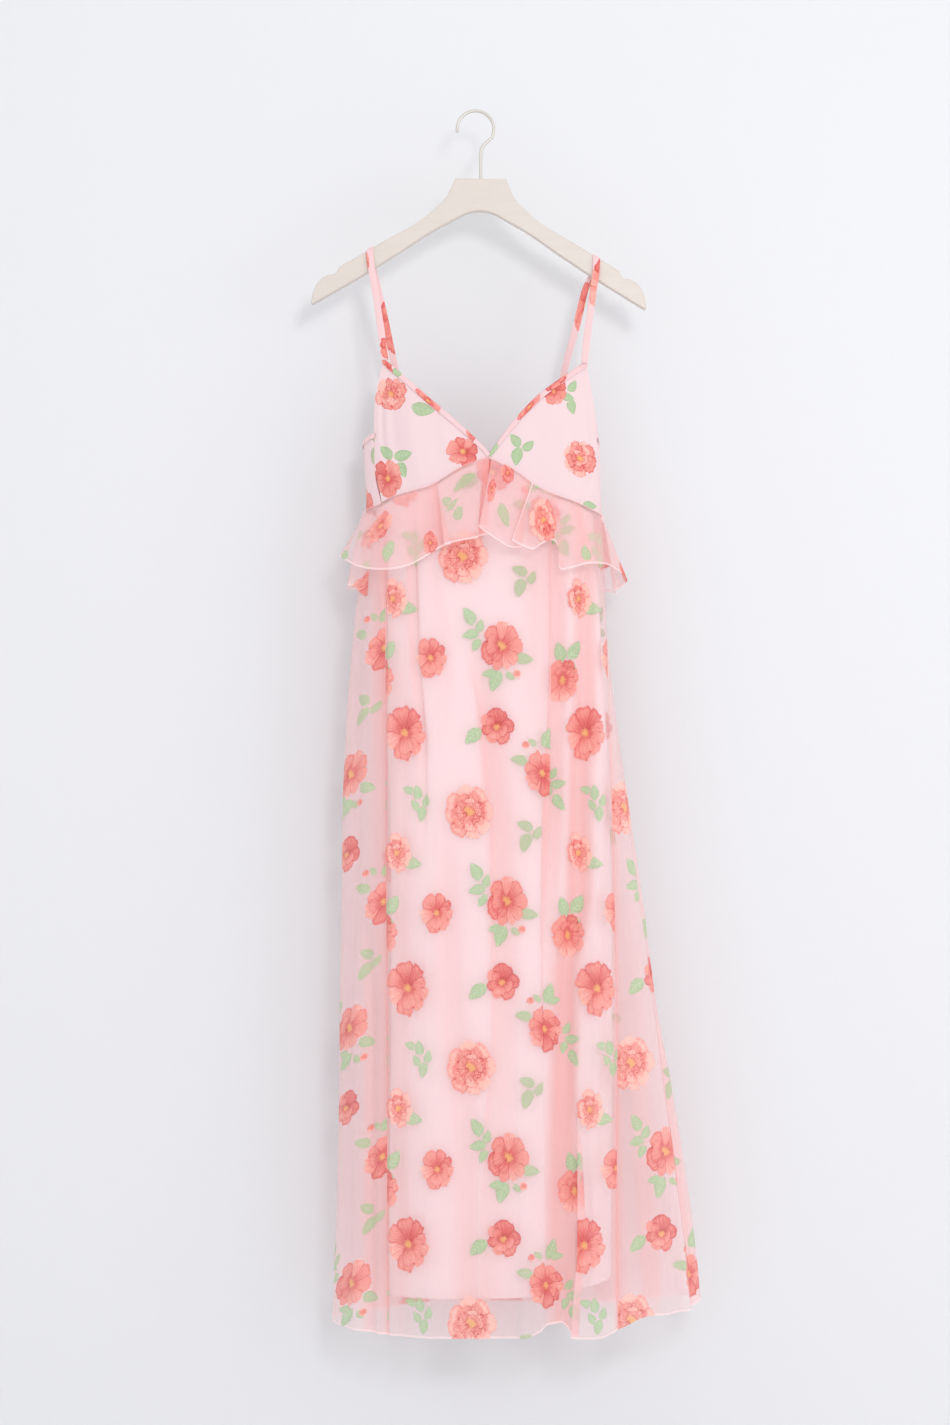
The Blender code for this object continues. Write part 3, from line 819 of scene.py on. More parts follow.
    def paint(self, mesh: bpy.types.Mesh, quads: np.ndarray, motifs: Sequence[Motif]) -> None:
        """Stores, for each face, its place on the flower and on the leaf nearest to it.

        Args:
            mesh: The mesh that gets the attributes.
            quads: Its faces.
            motifs: The flowers and leaves.
        """
        flat = np.stack([self.across.ravel(), self.down.ravel()], axis=1)
        middle = flat[quads].mean(axis=1)
        corners = flat[quads]
        for kinds, name in (((Bloom.ROSE, Bloom.PEONY), "rose"), ((Bloom.LEAF,), "leaf")):
            chosen = [m for m in motifs if m.bloom in kinds]
            place = np.full((len(quads), 4, 3), 9.0)
            form = np.zeros((len(quads), 4, 3))
            form[..., 0] = 6
            if chosen:
                best = np.full(len(quads), np.inf)
                pick = np.zeros(len(quads), int)
                for i, motif in enumerate(chosen):
                    long = (motif.half_x, motif.half_y) if name == "rose" else motif.half_x
                    off = (middle - (motif.x, motif.y)) / long
                    far = np.hypot(off[:, 0], off[:, 1])
                    closer = far < best
                    best[closer], pick[closer] = far[closer], i
                facts = np.array([[m.x, m.y, m.half_x, m.half_y, math.radians(m.turn), m.seed(), m.petals,
                                   float(m.bloom is Bloom.PEONY), m.tone] for m in chosen])[pick]
                dx = corners[..., 0] - facts[:, None, 0]
                dy = corners[..., 1] - facts[:, None, 1]
                cos, sin = np.cos(facts[:, None, 4]), np.sin(facts[:, None, 4])
                if name == "rose":
                    dx, dy = dx / facts[:, None, 2], dy / facts[:, None, 3]
                    place[..., 0], place[..., 1] = cos * dx + sin * dy, cos * dy - sin * dx
                    place[..., 2] = facts[:, None, 5]
                else:
                    place[..., 0] = (cos * dx + sin * dy) / facts[:, None, 2]
                    place[..., 1] = (cos * dy - sin * dx) / facts[:, None, 3]
                    place[..., 2] = facts[:, None, 8]
                form[..., 0], form[..., 1] = facts[:, None, 6], facts[:, None, 7]
            self.store(mesh, f"{name}_at", "CORNER", place.reshape(-1, 3))
            if name == "rose":
                self.store(mesh, "rose_form", "CORNER", form.reshape(-1, 3))

    def area_m2(self) -> float:
        """The cloth's own area in square metres."""
        a = np.diff(self.points, axis=1)[:-1]
        b = np.diff(self.points, axis=0)[:, :-1]
        return float(np.linalg.norm(np.cross(a, b), axis=2).sum()) * MM * MM


@dataclass
class Finish:
    """The materials, each made once."""

    sheer: bpy.types.Material
    lined: bpy.types.Material
    rolled: bpy.types.Material
    slip: bpy.types.Material
    wood: bpy.types.Material
    wire: bpy.types.Material
    cap: bpy.types.Material

    @staticmethod
    def make() -> "Finish":
        """Makes every finish."""
        return Finish(
            Chiffon(Backing.NONE).build(), Chiffon(Backing.LINED).build(), Chiffon(Backing.ROLLED).build(),
            LiningCloth().build(), PaintedWood().build(), PlatedWire().build(),
            PlatedWire("hook_cap", tint(222, 216, 208), tint(202, 196, 188), 0.0, 0.5).build(),
        )


def add_piece(name: str, mesh: bpy.types.Mesh, material: bpy.types.Material, slot: str,
        *nodes: str) -> bpy.types.Object:
    """Puts a piece in the scene, riding on the one body.

    Args:
        name: The piece's name.
        mesh: Its mesh.
        material: Its finish.
        slot: The record's material slot; not used.
        nodes: The CAD nodes that it stands for.

    Returns:
        The piece.
    """
    made = bpy.data.objects.new(name, mesh)
    mesh.materials.append(material)
    bpy.context.scene.collection.objects.link(made)
    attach(made, ROOT)
    if nodes:
        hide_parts(*nodes)
    LOG.info("%s: %d faces for %s", name, len(mesh.polygons), ", ".join(nodes) or "trim")
    return made


# --- the hanging shape -------------------------------------------------------------------------


@dataclass(frozen=True)
class Fold:
    """A fold down the skirt: where it runs, and how wide and deep it is."""

    path: Table
    left: float
    right: float
    depth: Table

    def press(self, x: np.ndarray, z: float) -> np.ndarray:
        """How far the cloth goes inwards at x."""
        off = x - straight(self.path, z)
        return straight(self.depth, z) * np.exp(-((off / np.where(off < 0, self.left, self.right)) ** 2))

    def shift(self, x: np.ndarray, z: float) -> np.ndarray:
        """How far the cloth goes sideways at x; a plain fold doesn't."""
        return np.zeros(len(x))


@dataclass(frozen=True)
class Pleat:
    """A fold whose one side laps over the other: its visible edge, its lap, and the trough beyond it.

    A positive lap carries the left side over the right one.
    """

    path: Table
    lap: Table
    depth: Table
    trough: float = 20.0
    bend: float = 9.0

    def start(self, z: float) -> tuple[float, float, float]:
        """The edge's place, the middle of the cloth that is carried, and the lap, at one height."""
        lap, edge = float(straight(self.lap, z)), float(straight(self.path, z))
        sign = math.copysign(1.0, sum(row[1] for row in self.lap))
        return edge, edge - sign * 0.214 * self.bend - 0.955 * lap, sign

    def press(self, x: np.ndarray, z: float) -> np.ndarray:
        """How far the cloth goes inwards at x."""
        edge, middle, sign = self.start(z)
        rise = np.clip(sign * (x - middle) / (1.4 * self.bend), 0, 1)
        fall = np.clip((sign * (x - edge) - 6) / self.trough, 0, 1)
        level = [part * part * (3 - 2 * part) for part in (rise, fall)]
        return straight(self.depth, z) * level[0] * (1 - level[1])

    def shift(self, x: np.ndarray, z: float) -> np.ndarray:
        """How far the cloth goes sideways at x."""
        _, middle, _ = self.start(z)
        return straight(self.lap, z) * np.exp(-(((x - middle) / self.bend) ** 2))


@dataclass(frozen=True)
class Hang:
    """The outline and seams of the hanging dress, by height."""

    left_edge: Table = (
        (-300, -141), (-430, -141.9), (-500, -138.5), (-560, -143), (-620, -150.6), (-745, -161.9),
        (-870, -168.1), (-995, -169.4), (-1120, -171.9), (-1245, -173.1), (-1370, -175.6), (-1560, -183),
    )
    right_edge: Table = (
        (-300, 150), (-430, 156.5), (-500, 159.4), (-560, 162), (-645, 165.6), (-745, 175.6),
        (-870, 193.1), (-995, 211.9), (-1120, 228), (-1245, 250.6), (-1370, 270.6), (-1560, 292.5),
    )
    front_depth: Table = ((-300, 23), (-440, 42), (-510, 44), (-700, 46), (-1100, 54), (-1560, 62))
    back_depth: Table = ((-300, 23), (-426, 36), (-510, 40), (-700, 44), (-1100, 52), (-1560, 60))
    seam_left: Table = (
        (-300, -113), (-310, -114.4), (-345, -123.1), (-407, -125.6), (-470, -124.4), (-501, -116.6),
        (-560, -116.6), (-745, -115), (-1057, -112.6), (-1560, -111.4),
    )
    seam_right: Table = (
        (-300, 134), (-317, 138.1), (-370, 147.4), (-420, 154), (-470, 156.4), (-514, 157.8), (-570, 161),
        (-800, 170.6), (-995, 175.6), (-1200, 178.1), (-1334, 176.9), (-1560, 178),
    )
    waist_front: Table = (
        (-145, -508), (-120, -500), (-103, -490), (-55.6, -478), (-22, -456.5), (-10.6, -451), (16, -441.5),
        (54, -461), (71.5, -476), (97, -488), (125, -497), (162, -513.8),
    )
    waist_back: Table = ((-145, -508), (-100, -517), (120, -520), (162, -513.8))
    hem_front: Table = (
        (-182, -1530), (-115.6, -1538), (5.6, -1541), (65.6, -1538), (84, -1524), (112, -1522), (121, -1538),
        (158, -1540), (205.6, -1516), (276.9, -1510), (291, -1502),
    )
    hem_back: Table = ((-182, -1530), (-100, -1522), (180, -1518), (291, -1502))
    squareness: float = 3.2

    def skin(self, x: np.ndarray, z: np.ndarray, side: int, out: float = 0.0) -> tuple[np.ndarray, np.ndarray]:
        """The plain skin of the dress at x and z, or a point that stands out from it.

        Args:
            x: Places across.
            z: Heights.
            side: -1 in front, 1 behind.
            out: How far the point stands out, square to the skin.

        Returns:
            The point's x and y.
        """
        left, right = smooth(self.left_edge, z), smooth(self.right_edge, z)
        half = (right - left) / 2
        across = np.clip((x - (left + right) / 2) / half, -0.998, 0.998)
        depth = smooth(self.front_depth if side < 0 else self.back_depth, z)
        y = side * depth * np.sqrt(1 - np.abs(across) ** self.squareness)
        aside = self.squareness * np.abs(across) ** (self.squareness - 1) * np.sign(across) / half
        ahead = 2 * y / depth**2
        length = np.hypot(aside, ahead)
        return x + out * aside / length, y + out * ahead / length

    def level(self, z: float) -> tuple[np.ndarray, np.ndarray]:
        """One level of the skin seen from above.

        Args:
            z: The height.

        Returns:
            The front panel's line, left to right, and the rest of the way round from the right seam.
        """
        turn = np.linspace(0, math.pi, 1601)
        reach = -np.cos(turn)
        left, right = float(smooth(self.left_edge, z)), float(smooth(self.right_edge, z))
        x = (left + right) / 2 + (right - left) / 2 * np.sign(reach) * np.abs(reach) ** (2 / self.squareness)
        front = np.column_stack([x, -smooth(self.front_depth, z) * np.sin(turn)])
        back = np.column_stack([x, smooth(self.back_depth, z) * np.sin(turn)])[::-1]
        start = float(smooth(self.seam_left, z))
        end = min(float(smooth(self.seam_right, z)), right - 1.5)
        rest = [self.between(front, end, right), back[1:-1], self.between(front, left, start)]
        return self.between(front, start, end), np.vstack(rest)

    @staticmethod
    def between(line: np.ndarray, low: float, high: float) -> np.ndarray:
        """The part of a left to right line between two places across."""
        inside = line[(line[:, 0] > low + 0.05) & (line[:, 0] < high - 0.05)]
        ends = [(x, np.interp(x, line[:, 0], line[:, 1])) for x in (low, high)]
        return np.vstack([ends[:1], inside, ends[1:]])


@dataclass
class Plan:
    """A panel's line at many heights, with its folds, read at any height and share of the way along."""

    hang: Hang
    front: bool
    folds_front: Sequence[Union[Fold, Pleat]]
    folds_back: Sequence[Union[Fold, Pleat]]
    columns: int
    top: float = -396.0
    bottom: float = -1560.0
    step: float = 12.0
    trim: float = 0.15

    def __post_init__(self) -> None:
        """Works out every level."""
        self.heights = np.arange(self.top, self.bottom - self.step, -self.step)
        levels = [self.line(float(z)) for z in self.heights]
        self.xy = np.array([level[0] for level in levels])
        self.base = np.array([level[1] for level in levels])
        self.along = np.array([level[2] for level in levels])
        # The painted fold shade of every level.
        self.gather = np.array([level[3] for level in levels])

    def line(self, z: float) -> tuple[np.ndarray, np.ndarray, np.ndarray, np.ndarray]:
        """One level, folded and cut into even steps.

        Args:
            z: The height.

        Returns:
            The points, their place on the plain skin with the side they are on, their arc length, and
            their painted fold shade, which also thickens the cloth's cover.
        """
        line = self.hang.level(z)[0 if self.front else 1]
        run = np.gradient(line, axis=0)
        run /= np.linalg.norm(run, axis=1)[:, None] + 1e-9
        normal = np.column_stack([run[:, 1], -run[:, 0]])
        facing = np.clip(np.abs(normal[:, 1]) * 1.6, 0, 1)
        push, slide = np.zeros(len(line)), np.zeros(len(line))
        for folds, there in ((self.folds_front, normal[:, 1] < 0), (self.folds_back, normal[:, 1] >= 0)):
            for fold in folds:
                push += np.where(there, fold.press(line[:, 0], z), 0) * facing
                slide += np.where(there, fold.shift(line[:, 0], z), 0) * facing
        moved = line - normal * push[:, None]
        moved[:, 0] += slide
        steps = np.hypot(*np.diff(moved, axis=0).T)
        along = np.concatenate([[0], np.cumsum(steps)])
        at = np.linspace(self.trim, along[-1] - self.trim, self.columns)
        points = np.column_stack([np.interp(at, along, moved[:, i]) for i in (0, 1)])
        side = np.where(normal[:, 1] < 0, -1.0, 1.0)
        base = np.column_stack([np.interp(at, along, line[:, 0]), np.interp(at, along, side)])
        slope = np.abs(np.gradient(push)) / (np.hypot(*np.gradient(line, axis=0).T) + 1e-6)
        # Painted fold shade: more where the cloth is pressed into a fold and on steep fold sides, less on ridges, and a
        # narrow band along both seams.
        painted_fold_shade = np.clip(push / 13.0, -0.3, 0.9) + 0.45 * np.clip(slope, 0, 1.2)
        painted_fold_shade += 1.1 * np.exp(-((along / 1.6) ** 2)) + 0.7 * np.exp(-(((along[-1] - along) / 1.6) ** 2))
        return points, base, at, np.interp(at, along, painted_fold_shade)

    def read(self, table: np.ndarray, z: np.ndarray) -> np.ndarray:
        """Reads a table of levels at one height per column."""
        place = np.clip((self.heights[0] - z) / self.step, 0, len(self.heights) - 1.001)
        low = place.astype(int)
        mix = (place - low).reshape(z.shape + (1,) * (table.ndim - 2))
        column = np.arange(self.columns)
        return table[low, column] * (1 - mix) + table[low + 1, column] * mix

    def cloth(self, rows: int, top: Callable, bottom: Callable, finished: tuple[bool, bool, bool, bool]) -> Cloth:
        """The panel as cloth.

        Args:
            rows: How many rows of points it has.
            top: The height of its top edge from x and side.
            bottom: The height of its hem from x and side.
            finished: Which of its left, right, top and bottom edges are seams or hems.

        Returns:
            The cloth.
        """
        grid, across, down, gather = [], [], [], []
        for share in np.linspace(0, 1, rows):
            z = np.full(self.columns, (self.top + self.bottom) / 2)
            for _ in range(5):
                base = self.read(self.base, z)
                high, low = top(base[:, 0], base[:, 1]), bottom(base[:, 0], base[:, 1])
                z = high + (low - high) * share
            grid.append(np.column_stack([self.read(self.xy, z), z]))
            across.append(self.read(self.along, z))
            down.append(-z)
            gather.append(self.read(self.gather, z))
        return Cloth(np.array(grid), np.array(across), np.array(down), finished, np.array(gather))

    def waist(self, x: np.ndarray, side: np.ndarray) -> np.ndarray:
        """The height of the waist seam."""
        return np.where(side < 0, rounded(self.hang.waist_front, x), rounded(self.hang.waist_back, x)) - 0.8

    def hem(self, x: np.ndarray, side: np.ndarray) -> np.ndarray:
        """The height of the skirt's hem."""
        return np.where(side < 0, rounded(self.hang.hem_front, x, 5), rounded(self.hang.hem_back, x))


@dataclass
class Skirt:
    """The chiffon skirt: a front panel, and a back panel that wraps to the front on both sides."""

    hang: Hang
    chart: PrintChart
    folds_front: tuple[Union[Fold, Pleat], ...] = (
        Pleat(((-480, -76), (-570, -73), (-635, -71), (-695, -69), (-745, -65), (-800, -60), (-1560, -58)),
              ((-470, 0), (-540, -3), (-700, -3), (-860, -3), (-940, -0.5), (-1560, -0.5)),
              ((-470, 0), (-560, 5), (-740, 4.5), (-880, 2.5), (-980, 0), (-1560, 0)), 11, 4.5),
        Fold(((-480, -54), (-616, -51), (-663, -41), (-731, -38.5), (-1560, -38)), 7, 10,
             ((-500, 0), (-590, 2), (-720, 2), (-820, 0.5), (-1560, 0.5))),
        Fold(((-480, -2), (-680, -1), (-717, 1), (-745, 8), (-796, 13), (-867, 19), (-903, 24.4), (-1060, 26),
              (-1168, 27), (-1300, 16), (-1380, 14), (-1560, 14)), 6, 24,
             ((-640, 0), (-700, 3), (-760, 7), (-900, 7), (-1100, 5), (-1400, 3), (-1560, 4))),
        Fold(((-480, 72), (-1560, 72)), 9, 9, ((-500, 0), (-580, 4), (-700, 2.5), (-800, 1), (-1560, 0))),
        Fold(((-480, 84), (-640, 86), (-1560, 86)), 3, 3, ((-600, 0), (-680, 1.2), (-860, 1.2), (-960, 0), (-1560, 0))),
        Pleat(((-480, 96), (-560, 95), (-745, 94.5), (-860, 93), (-960, 88), (-1040, 84), (-1560, 84)),
              ((-470, 0), (-530, 16), (-700, 15), (-780, 18), (-870, 24), (-960, 20), (-1060, 16), (-1300, 9),
              (-1560, 6)),
              ((-470, 0), (-560, 6), (-900, 7), (-1040, 3), (-1140, 0), (-1560, 0)), 22, 9),
        Fold(((-480, 140), (-650, 141), (-745, 139), (-830, 132), (-1000, 130), (-1080, 114), (-1170, 113),
              (-1270, 108), (-1370, 105), (-1560, 103)), 15, 13,
             ((-470, 0), (-560, 7), (-700, 9), (-900, 11), (-1200, 12), (-1400, 10), (-1560, 9))),
        Fold(((-480, 157), (-850, 158), (-1100, 150), (-1560, 150)), 9, 9,
        ((-480, 0), (-600, -4), (-1100, -5), (-1560, -5))),
        Pleat(((-1100, 127), (-1290, 126.5), (-1440, 125.6), (-1490, 121), (-1560, 117)),
              ((-1240, -0.5), (-1300, -20), (-1380, -25), (-1560, -25)), ((-1180, 0), (-1300, 5), (-1560, 6)), 16, 8),
        Fold(((-480, -86), (-900, -90), (-1560, -96)), 10, 10, ((-600, 0), (-760, 2), (-1100, 2.5), (-1560, 3))),
        Fold(((-900, -38), (-1100, -32), (-1300, -12), (-1560, -8)), 14, 18,
        ((-860, 0), (-980, 3.5), (-1300, 4), (-1560, 6))),
        Fold(((-900, -60), (-1560, -58)), 9, 9, ((-900, 0), (-1100, -2.5), (-1560, -3))),
        Fold(((-900, 56), (-1560, 60)), 10, 10, ((-900, 0), (-1100, -2), (-1560, -6))),
        Fold(((-480, -116), (-1560, -111)), 12, 3.5, ((-505, 0), (-560, 8), (-745, 8), (-900, 5), (-1560, 5))),
        Fold(((-480, -137), (-900, -138), (-1100, -148), (-1560, -150)), 7, 7, ((-560, 0), (-700, -2.5), (-1560, -4))),
        Fold(((-480, -150), (-900, -153), (-1100, -131), (-1560, -131)), 7, 6,
        ((-600, 0), (-760, 2), (-1000, 1), (-1120, 5), (-1560, 6))),
        Fold(((-480, 167), (-800, 171), (-995, 176), (-1560, 178)), 3, 5, ((-560, 0), (-640, 3), (-1560, 4))),
        Fold(((-700, 178), (-795, 182), (-1070, 222), (-1432, 270), (-1560, 281)), 4, 11,
             ((-720, 0), (-800, 3), (-1100, 7), (-1560, 8))),
        Fold(((-760, 172), (-795, 176), (-1070, 213), (-1432, 259), (-1560, 268)), 6, 5,
        ((-740, 0), (-850, -3), (-1560, -5))),
        Fold(((-900, 190), (-1560, 222)), 9, 9, ((-900, 0), (-1560, 5))),
        Fold(((-900, 203), (-1560, 243)), 7, 7, ((-1000, 0), (-1560, -4))),
    )
    folds_back: tuple[Union[Fold, Pleat], ...] = (
        Fold(((-520, -90), (-1560, -118)), 18, 24, ((-540, 0), (-700, 3), (-1560, 9))),
        Fold(((-520, -56), (-1560, -72)), 10, 12, ((-540, 0), (-1560, -5))),
        Pleat(((-520, -12), (-1560, -16)), ((-560, 0), (-900, 14), (-1560, 20)),
        ((-540, 0), (-700, 3), (-1560, 10)), 26, 10),
        Fold(((-520, 18), (-1560, 30)), 10, 12, ((-540, 0), (-1560, -4))),
        Pleat(((-520, 62), (-1560, 84)), ((-580, 0), (-1000, -14), (-1560, -18)),
        ((-540, 0), (-700, 3), (-1560, 9)), 20, 9),
        Fold(((-520, 112), (-1560, 176)), 20, 24, ((-540, 0), (-1560, 11))),
        Fold(((-520, 138), (-1560, 232)), 12, 14, ((-640, 0), (-1560, 6))),
    )

    def build(self, finish: Finish) -> None:
        """Args:
            finish: The materials.
        """
        plan = Plan(self.hang, True, self.folds_front, self.folds_back, 280)
        front = plan.cloth(220, plan.waist, plan.hem, (False, False, False, True))
        chart_x, chart_y = front.across - 29.5, front.down - 786.0
        mesh = front.mesh("skirt_front_chiffon", front.charted(self.chart, chart_x, chart_y))
        made = add_piece("skirt_front_chiffon", mesh, finish.sheer, "chiffon", "skirt_front")
        LOG.info("front panel: %.0f to %.0f mm wide, %.3f m2", front.across[0, -1], front.across[-1, -1],
                front.area_m2())

        plan = Plan(self.hang, False, self.folds_front, self.folds_back, 300)
        back = plan.cloth(220, plan.waist, plan.hem, (False, False, False, True))
        made = add_piece("skirt_back_chiffon", back.mesh("skirt_back_chiffon", self.back_print(back)), finish.sheer,
                         "chiffon", "skirt_back")
        LOG.info("back panel: %.0f to %.0f mm wide, %.3f m2", back.across[0, -1], back.across[-1, -1], back.area_m2())

    def back_print(self, back: Cloth) -> list[Motif]:
        """Lays the print round the back so that it meets each front seam where the cutter left it.

        Args:
            back: The back panel.

        Returns:
            The motifs on the flat panel.
        """
        length = back.across[:, -1:]
        from_right, from_left = 62.0 + back.across, 178.75 + 2 * self.chart.width - (length - back.across)
        share = back.across / length
        ease = np.clip((share - 0.12) / 0.72, 0, 1)
        ease = ease * ease * (3 - 2 * ease)
        chart_x = from_right * (1 - ease) + from_left * ease
        chart_y = back.down - (1101.0 * (1 - ease) + 947.5 * ease)
        x, y, z = np.moveaxis(back.points, -1, 0)
        turning = (x > smooth(self.hang.seam_right, z) - 4) & ((y > 0) | (z > -720))
        plain = ((y > 0) & (x < -100) | turning) & (z < -505)
        return back.charted(self.chart, chart_x, chart_y, plain)


@dataclass
class Slip:
    """The inner slip: a plain narrow tube of lining cloth, open at its hem."""

    hang: Hang
    left: Table = ((-500, -126), (-620, -120), (-800, -111), (-1560, -110))
    right: Table = ((-500, 148), (-620, 156), (-800, 166), (-1560, 172))
    inset: Table = ((-440, 3.5), (-560, 6.5), (-900, 7), (-1245, 8), (-1560, 10))
    hem: Table = ((-126, -1494), (40, -1492), (100, -1488), (178, -1472))
    drop: float = 2.5
    over: tuple[Union[Fold, Pleat], ...] = ()

    def half(self, side: int, columns: int = 120, rows: int = 120) -> Cloth:
        """One half of the slip.

        Args:
            side: -1 for the front, 1 for the back.
            columns: How many points across.
            rows: How many points down.

        Returns:
            The cloth.
        """
        turn = np.linspace(0.02, math.pi - 0.02, columns)
        reach = -np.cos(turn)
        spread = np.sign(reach) * np.abs(reach) ** (2 / self.hang.squareness)
        waist = self.hang.waist_front if side < 0 else self.hang.waist_back
        grid = []
        for share in np.linspace(0, 1, rows):
            z = np.full(columns, -1000.0)
            for _ in range(5):
                left, right = smooth(self.left, z), smooth(self.right, z)
                x = (left + right) / 2 + (right - left) / 2 * spread
                high = rounded(waist, x) - self.drop
                z = high + (rounded(self.hem, x) - high) * share
            depth = smooth(self.hang.front_depth if side < 0 else self.hang.back_depth, z) - smooth(self.inset, z)
            ripple = 1.6 * np.sin(x / 21.0 + side) * np.clip((-z - 520) / 900, 0, 1) * np.sin(turn)
            y = side * (depth * np.sin(turn) ** 0.8 + 0.8 - np.abs(ripple))
            if side < 0:
                pressed = sum(np.clip([fold.press(x[i : i + 1], z[i])[0] for i in range(columns)], 0,
                        None) for fold in self.over)
                y = np.minimum(y + 1.0 * np.clip(pressed - 1.5, 0, None), -2.0)
            grid.append(np.column_stack([x, y, z]))
        points = np.array(grid)
        return Cloth(points if side < 0 else points[:, ::-1], finished=(False, False, False, True))

    def build(self, finish: Finish) -> None:
        for name, side, node, flat, area in (("lining_front_cloth", -1, "lining_front", (0.33, 1.05), 0.322),
                                             ("lining_back_cloth", 1, "lining_back", (0.325, 0.98), 0.303)):
            cloth = self.half(side)
            made = add_piece(name, cloth.mesh(name, []), finish.slip, "lining", node)
            LOG.info("%s: %.3f m2", name, cloth.area_m2())


